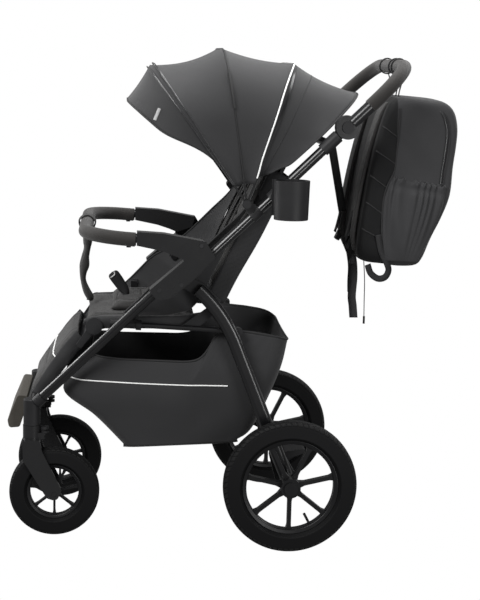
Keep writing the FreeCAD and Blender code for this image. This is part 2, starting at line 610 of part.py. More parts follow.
PIVOT_PIN_R = 4.0
BOW_T = 3.5                 # bow leg, across
BOW_W = 5.0                 # bow, along the arc that it swings on
BOW_STEP = 4.0              # each bow's legs stand this much further out than the last
BOW_IN = FRAME_Y + TUBE_R + 3
BOW_Y = [BOW_IN + BOW_T + BOW_STEP * i for i in range(3)]
clip = rod(on_tube(CANOPY_ALONG - 13), on_tube(CANOPY_ALONG + 13), TUBE_R + 3.5)
clip = clip.fuse(plate([
    (*on_tube(CANOPY_ALONG - 13, 6)[0:3:2], 0), (*on_tube(CANOPY_ALONG + 13, 6)[0:3:2], 0),
    (*on_tube(CANOPY_ALONG + 9, CANOPY_OFF + 8)[0:3:2], 6),
    (*on_tube(CANOPY_ALONG - 9, CANOPY_OFF + 8)[0:3:2], 6),
], -FRAME_Y, -FRAME_Y - 12))
clip = clip.cut(rod(on_tube(CANOPY_ALONG - 20), on_tube(CANOPY_ALONG + 20), TUBE_R))
clip = clip.fuse(disc(CANOPY.x, CANOPY.z, -FRAME_Y - 4, -BOW_Y[2] - 2, PIVOT_PIN_R))
clip = clip.fuse(disc(CANOPY.x, CANOPY.z, -BOW_Y[2] - 1, -BOW_Y[2] - 4, 9))
add("canopy_clips", both(clip))

CUP_OUT = CUP_R + CUP_WALL + 1.5
PLATE_Y = FRAME_Y + TUBE_R + 11
CUP_Y = PLATE_Y + 4.4 + CUP_OUT
mount_x = CUP_X - 30
clamp_at = (mount_x - PIVOT_X) / upper_way.x
holder = rod(on_tube(clamp_at - 12), on_tube(clamp_at + 12), TUBE_R + 3.5)
holder = holder.fuse(box(mount_x - 8, mount_x + 24, -PLATE_Y - 4, -PLATE_Y,
                         CUP_TOP - CUP_DEPTH, CUP_TOP - 2))
holder = holder.fuse(disc(mount_x, on_tube(clamp_at).z, -FRAME_Y, -PLATE_Y, 10))
holder = holder.cut(rod(on_tube(clamp_at - 20), on_tube(clamp_at + 20), TUBE_R))
add("cup_bracket", holder)

# ---------------------------------------------------------------- handle
HANDLE_Y = FRAME_Y + 7
CROSS = polar(HUB, TUBE_ANGLE, HANDLE_REACH)


def on_handle(distance, y=HANDLE_Y):
    return on_left(polar(HUB, TUBE_ANGLE, distance), y)


corner_l, corner_r = on_handle(HANDLE_REACH), on_handle(HANDLE_REACH, -HANDLE_Y)
handle_radii = [HANDLE_CORNER_R, HANDLE_CORNER_R]
handle = bent_tube([on_handle(36), corner_l, corner_r, on_handle(36, -HANDLE_Y)],
                   handle_radii, TUBE_R, TUBE_WALL)
half_hub = disc(HUB.x, HUB.z, -HUB_SPLIT, -HUB_OUT, HUB_R)
socket = rod(on_handle(14), on_handle(GRIP_START - 0.5), 13.4)
socket = socket.common(box(-400, 800, -HUB_OUT - 8, -HUB_SPLIT, 0, 2000).fuse(
    rod(on_handle(HUB_R + 1), on_handle(200), 20)))
half_hub = half_hub.fuse(socket)
BUTTON_R = 13.0
BUTTON_TRAVEL = 3.0
half_hub = half_hub.cut(disc(HUB.x, HUB.z, -HUB_OUT + 8, -HUB_OUT - 20, BUTTON_R + 0.3))
half_hub = half_hub.cut(disc(HUB.x, HUB.z, 0, -HUB_OUT, PIVOT_PIN_R + SHAFT_CLEARANCE))
half_hub = half_hub.cut(rod(on_handle(36), on_handle(200), TUBE_R))
add("handle_tube", handle.fuse([half_hub, mirrored(half_hub)]).removeSplitter())
grip = bent_tube([on_handle(GRIP_START), corner_l, corner_r, on_handle(GRIP_START, -HANDLE_Y)],
                 handle_radii, GRIP_R, GRIP_R - TUBE_R)
add("handle_grip", grip)
push = disc(HUB.x, HUB.z, -HUB_OUT + 8 - BUTTON_TRAVEL - 1, -HUB_OUT - 3, BUTTON_R)
add_pair("hub_button", push)

# ---------------------------------------------------------------- cup
cup = Part.makeCone(CUP_OUT - 2, CUP_OUT, CUP_DEPTH + 4, V(CUP_X, -CUP_Y, CUP_TOP - CUP_DEPTH - 4))
cup = cup.fuse(box(CUP_X - 14, CUP_X + 14, -CUP_Y, -PLATE_Y - 4.4, CUP_TOP - 60, CUP_TOP - 10))
cup = cup.cut(Part.makeCylinder(CUP_R, CUP_DEPTH + 1, V(CUP_X, -CUP_Y, CUP_TOP - CUP_DEPTH)))
add("cup_holder", cup)

# ---------------------------------------------------------------- backrest
BACK_HALF_W = SEAT_HALF_W - 11
HINGE_IN = BACK_HALF_W + 2


def back_point(along, off):
    p = polar(BACK_HINGE, BACK_ANGLE, along, off)
    return (p.x, p.z)


panel = plate([(*back_point(22, -8), 3), (*back_point(22, 0), 3),
               (*back_point(BACK_LENGTH, 0), 3), (*back_point(BACK_LENGTH, -8), 3)],
              -BACK_HALF_W + 8, BACK_HALF_W - 8)
side = plate([(*back_point(-11, -11), 8), (*back_point(-11, 11), 8),
              (*back_point(60, 0), 3), (*back_point(60, -8), 3)],
             -HINGE_IN - 0.3, -SEAT_HALF_W - 1.5)
side = side.cut(disc(BACK_HINGE.x, BACK_HINGE.z, 0, -200, 5 + SHAFT_CLEARANCE))
tie = plate([(*back_point(30, -8), 0), (*back_point(30, 0), 0), (*back_point(60, 0), 0),
             (*back_point(60, -8), 0)], -BACK_HALF_W + 12, -HINGE_IN - 0.5)
side = side.fuse(tie)
add("backrest_board", panel.fuse([side, mirrored(side)]).removeSplitter())

pad = plate([(*back_point(34, SOFT_GAP), 2), (*back_point(34, BACK_THICK), 12),
             (*back_point(BACK_LENGTH - 3, BACK_THICK), 14),
             (*back_point(BACK_LENGTH - 3, SOFT_GAP), 4)],
            -BACK_HALF_W, BACK_HALF_W)
add("backrest_pad", pad)
strap = plate([(*back_point(70, BACK_THICK + SOFT_GAP), 0),
               (*back_point(70, BACK_THICK + 9), 4),
               (*back_point(330, BACK_THICK + 9), 4),
               (*back_point(330, BACK_THICK + SOFT_GAP), 0)], -70, -32)
add("shoulder_straps", both(strap))

# ---------------------------------------------------------------- canopy
FAN_START = 46.0
TOP_CORNER = 150.0
PANEL_STEP = BOW_W / 2 + 0.6


def arch(half, radius, start):
    """The outline under a bow, lying in the XY plane with the pivot at the origin."""
    line = [V(start, -half, 0), V(radius, -half, 0), V(radius, half, 0), V(start, half, 0)]
    path = rounded_path(line, [TOP_CORNER, TOP_CORNER])
    return Part.Wire(path.Edges + [Part.LineSegment(line[-1], line[0]).toShape()])


def fanned(shape, angle, offset=0.0):
    """Turn a shape from the XY plane to an angle about the canopy pivot."""
    shape = shape.copy()
    shape.translate(V(0, 0, offset))
    shape.rotate(V(0, 0, 0), V(0, 1, 0), -angle)
    shape.translate(CANOPY)
    return shape


def bow(half, radius, angle):
    ring = Part.Face(arch(half, radius, 8)).cut(Part.Face(arch(half - BOW_T, radius - 4, 0)))
    ring.translate(V(0, 0, -BOW_W / 2))
    hoop = ring.extrude(V(0, 0, BOW_W))
    for y in (half - BOW_T, -half):
        hoop = hoop.fuse(Part.makeCylinder(10, BOW_T, V(0, y, 0), V(0, 1, 0)))
    hoop = hoop.cut(Part.makeCylinder(PIVOT_PIN_R + SHAFT_CLEARANCE, 2 * half + 10,
                                      V(0, -half - 5, 0), V(0, 1, 0)))
    return fanned(hoop.removeSplitter(), angle)


def fan(first, second, start=(FAN_START, FAN_START)):
    """Cloth between two bows, each given as (half width, radius, angle, offset)."""
    def skin(cut):
        wires = []
        for (half, radius, angle, offset), begin in zip((first, second), start):
            wires.append(fanned(arch(half - cut, radius - cut, begin - 4 * cut), angle, offset))
        return Part.makeLoft(wires, True, True)
    return skin(0).cut(skin(CLOTH))


for name, y, radius, angle in zip(("rear", "mid", "front"), BOW_Y, CANOPY_R, CANOPY_ANGLE):
    add("canopy_bow_" + name, bow(y, radius, angle))

rear_edge = (BOW_Y[0], 352.0, REAR_EDGE_ANGLE, 0.0)
sections = list(zip(BOW_Y, CANOPY_R, CANOPY_ANGLE))
add("canopy_panel_rear", fan(rear_edge, (*sections[0], -PANEL_STEP), (120.0, 60.0)))
add("canopy_panel_mid", fan((*sections[0], PANEL_STEP), (*sections[1], -PANEL_STEP)))
front = fan((*sections[1], PANEL_STEP), (*sections[2], -PANEL_STEP))
visor_end = (BOW_Y[2] - 8, VISOR_R, CANOPY_ANGLE[2] + VISOR_ANGLE, 0.0)
visor = fan((*sections[2], PANEL_STEP), visor_end, (150.0, 262.0))
add("canopy_panel_front", Part.makeCompound([front, visor]))

# ---------------------------------------------------------------- basket
BASKET_WALL = 3.0


def basket_plan(inset):
    corners = [V(x, y, 0) for x, y in (
        (-520, -150 + inset), (-190, -184 + inset), (20, -184 + inset), (20, 184 - inset),
        (-190, 184 - inset), (-520, 150 - inset), (-520, -150 + inset))]
    return Part.Face(Part.makePolygon(corners)).extrude(V(0, 0, 1000))


def basket_block(inset):
    body = plate([
        (-513 + inset, 340 - inset / 2, 6), (-462 + inset, 400, 20),
        (-448 + inset, 426 - inset, 6), (-190, 424 - inset, 60), (-130, 476 - inset, 30),
        (2 - inset, 448 - inset, 6), (-18 - inset, 380, 30), (-72 - inset, 246 + inset, 34),
        (-120, 216 + inset, 30), (-376 + inset / 2, 203 + inset, 34),
    ], -200, 200)
    return body.common(basket_plan(inset))


basket_top = box(-436, -10, -200, 200, 400, 600).common(basket_plan(BASKET_WALL))
add("basket", basket_block(0).cut(basket_block(BASKET_WALL)).cut(basket_top))

# ---------------------------------------------------------------- backpack
bag = plate([
    (222, BAG_TOP, 14), (352, BAG_TOP - 8, 34), (394, BAG_TOP - 60, 60),
    (380, BAG_TOP - 190, 80), (352, BAG_TOP - 270, 60), (300, BAG_BOTTOM, 24),
    (172, BAG_BOTTOM + 4, 24), (150, BAG_BOTTOM + 90, 60),
], -BAG_HALF_W, BAG_HALF_W)
add("bag_body", bag)
HANGER_Y = 70.0
ring = disc(CROSS.x, CROSS.z, -HANGER_Y - 4, -HANGER_Y + 4, GRIP_R + 3.2)
ring = ring.fuse(box(CROSS.x - 1.5, CROSS.x + 1.5, -HANGER_Y - 4, -HANGER_Y + 4, BAG_TOP - 0.2,
                     CROSS.z - 10))
ring = ring.cut(disc(CROSS.x, CROSS.z, -200, 0, GRIP_R + GAP))
add("bag_hangers", both(ring))

# ---------------------------------------------------------------- place and write
whole = Part.makeCompound(list(nodes.values())).BoundBox
ORIGIN = V((whole.XMin + whole.XMax) / 2, (whole.YMin + whole.YMax) / 2, 0)
os.makedirs("parts", exist_ok=True)
for name, shape in nodes.items():
    shape.translate(-ORIGIN)
    shape.exportStep("parts/" + name + ".step")
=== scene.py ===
import json
from math import cos, degrees, exp, pi, radians, sin

import bmesh
import bpy
from mathutils import Matrix, Vector
from mathutils.bvhtree import BVHTree
from mathutils.kdtree import KDTree


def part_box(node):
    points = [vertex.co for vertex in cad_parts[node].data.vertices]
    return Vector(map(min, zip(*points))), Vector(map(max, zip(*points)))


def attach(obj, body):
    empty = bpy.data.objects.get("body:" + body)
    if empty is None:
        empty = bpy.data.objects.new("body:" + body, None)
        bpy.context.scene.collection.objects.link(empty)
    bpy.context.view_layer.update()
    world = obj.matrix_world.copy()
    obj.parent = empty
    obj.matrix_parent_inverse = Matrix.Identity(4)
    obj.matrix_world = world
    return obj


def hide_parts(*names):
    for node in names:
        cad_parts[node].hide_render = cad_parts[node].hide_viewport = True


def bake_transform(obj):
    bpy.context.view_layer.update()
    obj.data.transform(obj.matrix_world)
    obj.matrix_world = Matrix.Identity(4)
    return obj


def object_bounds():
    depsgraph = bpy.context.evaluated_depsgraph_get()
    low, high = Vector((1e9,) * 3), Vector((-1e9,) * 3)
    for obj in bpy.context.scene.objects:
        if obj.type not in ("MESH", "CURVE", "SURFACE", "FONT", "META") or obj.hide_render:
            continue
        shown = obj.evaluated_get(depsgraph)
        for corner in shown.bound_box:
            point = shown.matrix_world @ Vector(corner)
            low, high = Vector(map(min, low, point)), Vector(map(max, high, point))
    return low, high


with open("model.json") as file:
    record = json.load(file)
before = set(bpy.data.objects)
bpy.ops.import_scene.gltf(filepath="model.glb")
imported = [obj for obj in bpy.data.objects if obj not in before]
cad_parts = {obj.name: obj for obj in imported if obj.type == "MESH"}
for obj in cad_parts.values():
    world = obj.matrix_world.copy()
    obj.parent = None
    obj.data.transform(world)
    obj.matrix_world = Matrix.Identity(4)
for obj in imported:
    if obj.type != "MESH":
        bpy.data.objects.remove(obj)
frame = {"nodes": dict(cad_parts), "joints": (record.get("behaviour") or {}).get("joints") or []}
cad_low, cad_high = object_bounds()

# ---- Standing place, light and view
# The stroller stands in a white studio under large soft lamps. Every place below is measured
# in millimetres from the ground under the middle of the rear axle.
axle_low, axle_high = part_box("rear_axle")
AXLE = (axle_low + axle_high) / 2
scene = bpy.context.scene


def at(x, y, z):
    return Vector((AXLE.x + x / 1000, AXLE.y + y / 1000, z / 1000))


def aim(thing, ahead, up):
    """Turn a lamp or the camera so that it looks along ahead."""
    ahead = Vector(ahead).normalized()
    side = ahead.cross(Vector(up)).normalized()
    turn = Matrix((side, side.cross(ahead), -ahead)).transposed()
    thing.rotation_mode = "QUATERNION"
    thing.rotation_quaternion = turn.to_quaternion()


camera = bpy.data.objects.new("camera", bpy.data.cameras.new("camera"))
camera.data.lens, camera.data.sensor_width = 89.43, 36
camera.data.clip_start, camera.data.clip_end = 0.1, 60
camera.location = at(-381, -3475.7, 1096.7)
aim(camera, (0.07939, 0.98363, -0.16177), (-0.0129, 0.16328, 0.9865))
scene.collection.objects.link(camera)
scene.camera = camera
scene.view_settings.view_transform = "Standard"

for name, place, size, power in (
    ("lamp_key", (-1900, -2300, 2600), 1.6, 110), ("lamp_over", (100, 200, 3000), 2.2, 92),
    ("lamp_rear", (2400, 1300, 1700), 1.4, 36), ("lamp_low", (1400, -2800, 700), 1.2, 38),
    ("lamp_front", (-2600, 900, 1200), 1.2, 40),
):
    lamp = bpy.data.objects.new(name, bpy.data.lights.new(name, "AREA"))
    lamp.data.shape, lamp.data.size, lamp.data.energy = "DISK", size, power
    lamp.location = at(*place)
    aim(lamp, at(-150, 0, 560) - lamp.location, (0, 0.01, 1))
    scene.collection.objects.link(lamp)

world = bpy.data.worlds.new("studio")
scene.world = world
world.use_nodes = True
backdrop = world.node_tree.nodes["Background"]
backdrop.inputs["Color"].default_value = (1, 1, 1, 1)
seen = world.node_tree.nodes.new("ShaderNodeLightPath")
glow = world.node_tree.nodes.new("ShaderNodeMapRange")
glow.inputs["To Min"].default_value, glow.inputs["To Max"].default_value = 0.3, 1.0
world.node_tree.links.new(seen.outputs["Is Camera Ray"], glow.inputs["Value"])
world.node_tree.links.new(glow.outputs["Result"], backdrop.inputs["Strength"])

# ---- Aluminium tubes and axle
# Drawn oval and grooved tubes with a satin black powder coat, cured in an oven. The coat has a
# fine orange-peel surface and rubs a little shinier where hands and straps pass.


class Value:
    """A shader number that Python's own operators work on."""

    def __init__(self, finish, link):
        self.finish, self.link = finish, link

    def math(self, operation, first, second):
        return self.finish.node("Math", {"operation": operation}, {0: first, 1: second})

    def __add__(self, other):
        return self.math("ADD", self, other)

    def __sub__(self, other):
        return self.math("SUBTRACT", self, other)

    def __rsub__(self, other):
        return self.math("SUBTRACT", other, self)

    def __mul__(self, other):
        return self.math("MULTIPLY", self, other)

    def __truediv__(self, other):
        return self.math("DIVIDE", self, other)

    def __rtruediv__(self, other):
        return self.math("DIVIDE", other, self)

    __radd__, __rmul__ = __add__, __mul__

    def folded(self):
        """The number folded back and forth between 0 and a half."""
        return self.math("PINGPONG", self, 0.5)

    def stepped(self, low, high):
        """0 below low, 1 above high, and a straight run between them."""
        return self.finish.node("ValToRGB", {"stops": ((low, 0.0), (high, 1.0))}, {0: self})


class Finish:
    """A material whose nodes all come from node()."""

    def __init__(self, name, colour, roughness, **constants):
        self.material = bpy.data.materials.new(name)
        self.material.use_nodes = True
        self.tree = self.material.node_tree
        self.surface = self.tree.nodes["Principled BSDF"]
        constants.update({"Base Color": (*colour, 1), "Roughness": roughness})
        for socket, value in constants.items():
            self.surface.inputs[socket.replace("_", " ")].default_value = value
        self.object = self.node("TexCoord", {}, {}, "Object")

    def node(self, kind, settings, sockets, out=0):
        made = self.tree.nodes.new("ShaderNode" + kind)
        for key, value in settings.items():
            if key == "stops":
                for stop, (position, tone) in zip(made.color_ramp.elements, value):
                    stop.position, stop.color = position, (tone, tone, tone, 1)
            else:
                setattr(made, key, value)
        for key, value in sockets.items():
            if isinstance(value, Value):
                self.tree.links.new(value.link, made.inputs[key])
            else:
                made.inputs[key].default_value = value
        return Value(self, made.outputs[out])

    def noise(self, scale, detail=2.0, vector=None):
        return self.node("TexNoise", {}, {"Vector": vector or self.object, "Scale": scale,
                                          "Detail": detail})

    def stretched(self, scale, centre=(0, 0, 0)):
        moved = tuple(-c * s for c, s in zip(centre, scale))
        return self.node("Mapping", {}, {"Vector": self.object, "Location": moved, "Scale": scale})

    def tint(self, mask, low, high):
        """Base colour that goes from low to high with the mask."""
        mixed = self.node("Mix", {"data_type": "RGBA"}, {0: mask, 6: (*low, 1), 7: (*high, 1)}, 2)
        self.feed("Base Color", mixed)

    def feed(self, socket, value):
        self.tree.links.new(value.link, self.surface.inputs[socket])

    def relief(self, height, distance, strength):
        sockets = {"Height": height, "Distance": distance, "Strength": strength}
        self.feed("Normal", self.node("Bump", {}, sockets))

    def split(self, vector):
        """The three numbers of a vector."""
        return [self.node("SeparateXYZ", {}, {0: vector}, part) for part in range(3)]


def paint(finish, *names):
    """Give CAD nodes a finish in place of the plain one they were packed with."""
    for name in names:
        node = frame["nodes"][name]
        for index in range(len(node.data.materials)):
            node.data.materials[index] = finish.material


coat = Finish("powder_coat", (0.0045, 0.0045, 0.005), 0.34, Specular_IOR_Level=0.3,
              Coat_Weight=0.3, Coat_Roughness=0.18)
peel = coat.noise(1400, 3)
rubbed = coat.noise(14, 4)
coat.feed("Roughness", rubbed * 0.16 + 0.24)
coat.relief(peel, 0.00012, 0.5)
paint(coat, "rear_leg_left", "rear_leg_right", "lower_tube_left", "lower_tube_right",
      "upper_tube_left", "upper_tube_right", "upper_crossbar", "handle_tube", "front_crossbar",
      "bumper_bar", "side_links", "rear_axle", "canopy_bow_rear", "canopy_bow_mid",
      "canopy_bow_front")

# ---- Moulded joints
# Glass-filled nylon knuckles, brackets, sleeves and levers, moulded with a fine spark-eroded
# grain. The tool leaves a slightly uneven sheen over the larger faces.
nylon = Finish("moulded_nylon", (0.012, 0.012, 0.013), 0.52, Specular_IOR_Level=0.22)
grain = nylon.noise(900, 4)
cloudy = nylon.noise(22, 3)
nylon.feed("Roughness", cloudy * 0.2 + 0.42)
nylon.tint(cloudy, (0.009, 0.009, 0.0095), (0.015, 0.015, 0.016))
nylon.relief(grain, 0.0002, 0.6)
paint(nylon, "leg_fittings", "side_sleeves", "caster_housings", "handle_hubs", "canopy_clips",
      "cup_bracket", "brake_pedal", "cup_holder", "swivel_lock_left",
      "swivel_lock_right", "bumper_buttons", "hub_button_left", "hub_button_right",
      "seat_board", "legrest_frame", "backrest_board")

# ---- Hinge shells and front forks
# The larger mouldings are the same nylon from a polished tool. Their smooth, semi-gloss faces
# pick up long highlights from the lamps.
shell = Finish("gloss_moulding", (0.0115, 0.0115, 0.012), 0.3, Specular_IOR_Level=0.34)
swirl = shell.noise(30, 4)
shell.feed("Roughness", swirl * 0.14 + 0.2)
shell.relief(shell.noise(700, 3), 0.0001, 0.35)
paint(shell, "hinge_shell_left", "hinge_shell_right", "fork_left", "fork_right")

# ---- Wheel rims
# Spoked rims moulded in one piece of black nylon, with their hub cap and valve stem. The face
# is a little duller on the barrel than on the spokes.
spokes = Finish("rim_nylon", (0.006, 0.006, 0.0065), 0.36, Specular_IOR_Level=0.22)
spokes.feed("Roughness", spokes.noise(40, 3) * 0.2 + 0.28)
spokes.relief(spokes.noise(800, 2), 0.00012, 0.5)
paint(spokes, "rear_rim_left", "rear_rim_right", "front_rim_left", "front_rim_right")

# ---- Tyres
# Foam-filled rubber tyres with a moulded tread: slanted blocks over the crown and fine ribs on
# the shoulders. Floor dust greys the crown slightly.
TREAD_PITCH = 0.013
for name in ("rear_tyre_left", "rear_tyre_right", "front_tyre_left", "front_tyre_right"):
    low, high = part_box(name)
    middle = (low + high) / 2
    radius = (high.z - low.z) / 2
    rubber = Finish("rubber_" + name, (0.01, 0.01, 0.0105), 0.7, Specular_IOR_Level=0.14)
    local = rubber.stretched((1, 1, 1), middle)
    local_x, local_y, local_z = rubber.split(local)
    turn = local_z.math("ARCTAN2", local_z, local_x)
    across = rubber.node("Math", {"operation": "ABSOLUTE"}, {0: local_y})
    blocks = round(radius * 2 * pi / TREAD_PITCH)
    tooth = (turn * (blocks / (2 * pi)) + across * 55).folded()
    cut = (tooth * 2).stepped(0.16, 0.3)
    reach = rubber.node("VectorMath", {"operation": "LENGTH"},
                        {0: rubber.node("CombineXYZ", {}, {0: local_x, 2: local_z})}, "Value")
    crown = (reach / radius).stepped(0.935, 0.955)
    ribs = ((across * 90).folded() * 2).stepped(0.1, 0.25)
    tread = cut * ribs * crown
    dust = rubber.noise(60, 4)
    rubber.tint(tread * dust, (0.003, 0.003, 0.0033), (0.0125, 0.0125, 0.0125))
    rubber.relief(tread + dust * 0.08, 0.0022, 0.9)
    paint(rubber, name)

# ---- Pins and screws
# The hinge pins and the screws of the shells are turned steel. The lathe leaves fine rings on
# them, and a chemical blackening darkens them.
steel = Finish("blackened_steel", (0.06, 0.06, 0.062), 0.34, Metallic=1.0)
steel.relief(steel.noise(500, 3, steel.stretched((1, 30, 1))), 0.0001, 0.4)
paint(steel, "fold_pins", "shell_screws")

# ---- Foam sleeves
# Closed-cell foam tube drawn over the handle and the bumper. It is brown-black, with a dry
# skin of fine pores.
foam = Finish("foam_sleeve", (0.022, 0.0195, 0.018), 0.82, Specular_IOR_Level=0.3,
              Sheen_Weight=0.15, Sheen_Roughness=0.5)
pores = foam.noise(1100, 5)
mottle = foam.noise(35, 3)
foam.tint(mottle, (0.0125, 0.0115, 0.0108), (0.02, 0.0178, 0.0162))
foam.relief(pores, 0.0004, 0.8)
paint(foam, "handle_grip", "bumper_cover")

# ---- Canopy
# Water-repellent polyester cut in three gores and a visor, sewn over three flat bows, so each bay
# pulls in a little between its bows. The seams carry a glossy double binding on the front bow, a flat
# dark tape on the middle one and white piping on the rear one.
cloth = Finish("woven_cloth", (0.02, 0.02, 0.021), 0.8, Specular_IOR_Level=0.28,
               Sheen_Weight=0.12, Sheen_Roughness=0.45)


def woven(finish, pitch, depth):
    """Two crossed sets of fine ribs in metres of pitch, with slubs, as relief."""
    warp, weft = [
        (finish.node("VectorMath", {"operation": "DOT_PRODUCT"}, {0: finish.object, 1: way},
                     "Value") / pitch).folded()
        for way in ((0.8, 0.9, 0.75), (0.75, -0.9, 0.85))
    ]
    finish.relief(warp + weft + finish.noise(260, 3), depth, 0.7)
    return warp * weft


threads = woven(cloth, 0.0011, 0.0002)
worn = cloth.noise(9, 4)
cloth.tint(worn, (0.0165, 0.0165, 0.0175), (0.0255, 0.0255, 0.0265))
cloth.feed("Roughness", threads * 0.5 + worn * 0.14 + 0.62)

# Each bow has its half width, its reach from the pivot and its angle about it. Its corners bend
# between two shares of its length.
JOINT = {joint["name"]: joint for joint in frame["joints"]}
FAN = Vector(JOINT["canopy_fold"]["pos_m"])
BOWS = {"rear": (257.5, 321, 69.8), "mid": (261.5, 334, 98.8), "front": (265.5, 356, 125.7)}
BEND_START, BEND_END = 0.14, 0.385


def arch(s, half, reach, foot=46, corner=150):
    """A point along a bow from one foot to the other: distance from the pivot, and Y."""
    t = min(s, 1 - s)
    if t < BEND_START:
        u, y = foot + (reach - corner - foot) * t / BEND_START, half
    elif t < BEND_END:
        bend = (t - BEND_START) / (BEND_END - BEND_START) * pi / 2
        u, y = reach - corner + corner * sin(bend), half - corner * (1 - cos(bend))
    else:
        u, y = reach, (half - corner) * (0.5 - t) / (0.5 - BEND_END)
    return u, -y if s < 0.5 else y


def fanned(u, y, angle):
    """The place of an arch point when its bow stands at an angle about the canopy pivot."""
    turn = radians(angle)
    return FAN + Vector((u * cos(turn), y, u * sin(turn))) / 1000


def smooth(low, high, value):
    t = min(1, max(0, (value - low) / (high - low)))
    return t * t * (3 - 2 * t)


def shown(name, mesh, finish):
    """Put a finished bmesh in the scene as a smooth-shaded piece."""
    made = bpy.data.meshes.new(name)
    for face in mesh.faces:
        face.smooth = True
    mesh.to_mesh(made)
    mesh.free()
    made.materials.append(finish.material)
    piece = bpy.data.objects.new(name, made)
    scene.collection.objects.link(piece)
    return piece


def laid_grid(across, along, place, join=0.00005):
    """A grid of faces laid over place(u, v), where points closer than join become one."""
    mesh = bmesh.new()
    bmesh.ops.create_grid(mesh, x_segments=across, y_segments=along, size=0.5)
    for vertex in mesh.verts:
        vertex.co = place(vertex.co.x + 0.5, vertex.co.y + 0.5)
    bmesh.ops.remove_doubles(mesh, verts=mesh.verts, dist=join)
    bmesh.ops.recalc_face_normals(mesh, faces=mesh.faces)
    return mesh


def sewn_sheet(name, across, along, place, finish, thick=1.6, outward=None):
    """A cut sheet of cloth laid over place(u, v), with its thickness inside that surface."""
    mesh = laid_grid(across, along, place)
    if outward is not None:
        mesh.faces.ensure_lookup_table()
        face = max(mesh.faces, key=lambda f: f.calc_center_median().dot(outward))
        if face.normal.dot(outward) < 0:
            bmesh.ops.reverse_faces(mesh, faces=mesh.faces)
    piece = shown(name, mesh, finish)
    wall = piece.modifiers.new("thickness", "SOLIDIFY")
    wall.thickness, wall.offset = thick / 1000, -1
    return piece


def smooth_line(points, count):
    """Evenly spaced points on a smooth line through the given ones."""
    ends = [points[0] * 2 - points[1], *points, points[-1] * 2 - points[-2]]
    fine = []
    for a, b, c, d in zip(ends, ends[1:], ends[2:], ends[3:]):
        for step in range(20):
            t = step / 20
            fine.append(((b * 2) + (c - a) * t + (a * 2 - b * 5 + c * 4 - d) * t * t
                         + (b * 3 - a - c * 3 + d) * t * t * t) / 2)
    fine.append(points[-1].copy())
    reach = [0.0]
    for a, b in zip(fine, fine[1:]):
        reach.append(reach[-1] + (b - a).length)
    line, k = [], 0
    for step in range(count):
        want = reach[-1] * step / (count - 1)
        while k < len(reach) - 2 and reach[k + 1] < want:
            k += 1
        span = reach[k + 1] - reach[k] or 1
        line.append(fine[k].lerp(fine[k + 1], min(1, max(0, (want - reach[k]) / span))))
    return line


def met(piece, starts, way, proud):
    """Where straight lines from the starts meet a piece, and a little proud of it."""
    skin = BVHTree.FromPolygons([vertex.co for vertex in piece.data.vertices],
                                [face.vertices for face in piece.data.polygons])
    hits = [skin.ray_cast(start, way, 0.2)[0] for start in starts]
    return [hit - way * proud for hit in hits if hit is not None]


def fasten(body, slot, *pieces):
    """Let pieces ride on a body; the slot is not used."""
    for piece in pieces:
        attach(piece, body)


def drape(slot, first, second, start, end, *pieces):
    """Bake each piece's place into its own mesh; the two bodies and the slot are not used."""
    for piece in pieces:
        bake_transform(piece)


def thread(name, points, radius, finish):
    """A round cord, piping or binding along points, capped at both ends."""
    line = bpy.data.curves.new(name, "CURVE")
    line.dimensions = "3D"
    line.bevel_depth, line.bevel_resolution, line.resolution_u = radius / 1000, 2, 3
    line.use_fill_caps = True
    spline = line.splines.new("NURBS")
    spline.points.add(len(points) - 1)
    for slot_point, point in zip(spline.points, points):
        slot_point.co = (*point, 1)
    spline.order_u, spline.use_endpoint_u = 3, True
    drawn = bpy.data.objects.new(name, line)
    piece = bpy.data.objects.new(name, bpy.data.meshes.new_from_object(drawn))
    bpy.data.objects.remove(drawn)
    piece.data.materials.clear()
    piece.data.materials.append(finish.material)
    piece.data.shade_smooth()
    scene.collection.objects.link(piece)
    return piece


def strap(name, points, width, thick, finish, facing):
    """Flat webbing along points; facing gives its face at each point, or all along."""
    line = smooth_line(points, len(points) * 8)
    last = len(line) - 1

    def place(u, v):
        step = round(v * last)
        ahead = line[min(step + 1, last)] - line[max(step - 1, 0)]
        face = facing(step / last) if callable(facing) else facing
        side = ahead.cross(Vector(face)).normalized()
        return line[step] + side * ((u - 0.5) * width / 1000)

    piece = shown(name, laid_grid(2, last, place), finish)
    wall = piece.modifiers.new("thickness", "SOLIDIFY")
    wall.thickness, wall.offset = thick / 1000, 0
    return piece


def rear_edge(s):
    """The hem behind the canopy, which draws in towards the middle of the back."""
    half = 250 - 29 * smooth(150, 300, arch(s, 1, 352, 88)[0])
    u, y = arch(s, half, 352, 88, 130)
    return fanned(u, y, 43 + 9 * (1 - smooth(88, 128, u)))


def on_bow(name, s, proud=1.8, foot=46):
    """A place just proud of a bow; the cloth pulls the rear one forward at its sides."""
    half, reach, angle = BOWS[name]
    near_foot = min(s, 1 - s)
    if name == "rear":
        angle += 2.6 * smooth(0, 0.05, near_foot) * (1 - smooth(0.2, 0.42, near_foot))
    return fanned(*arch(s, half + proud, reach + proud, foot), angle)


def visor_edge(s):
    u, y = arch(s, 261, 336, 84)
    return fanned(u, y, 126.5 + 14.5 * smooth(84, 250, u))


def bay(first, second, sag):
    """Cloth from one line to the next, drawn in by sag millimetres halfway."""
    def place(u, v):
        point = first(u).lerp(second(u), v)
        inward = Vector((FAN.x - point.x, (AXLE.y - point.y) * 0.8, FAN.z - point.z))
        crease = sag * sin(pi * v) ** 0.8
        return point + inward.normalized() * crease / 1000
    return place


def bow_line(name, foot=46):
    return lambda s: on_bow(name, s, foot=foot)


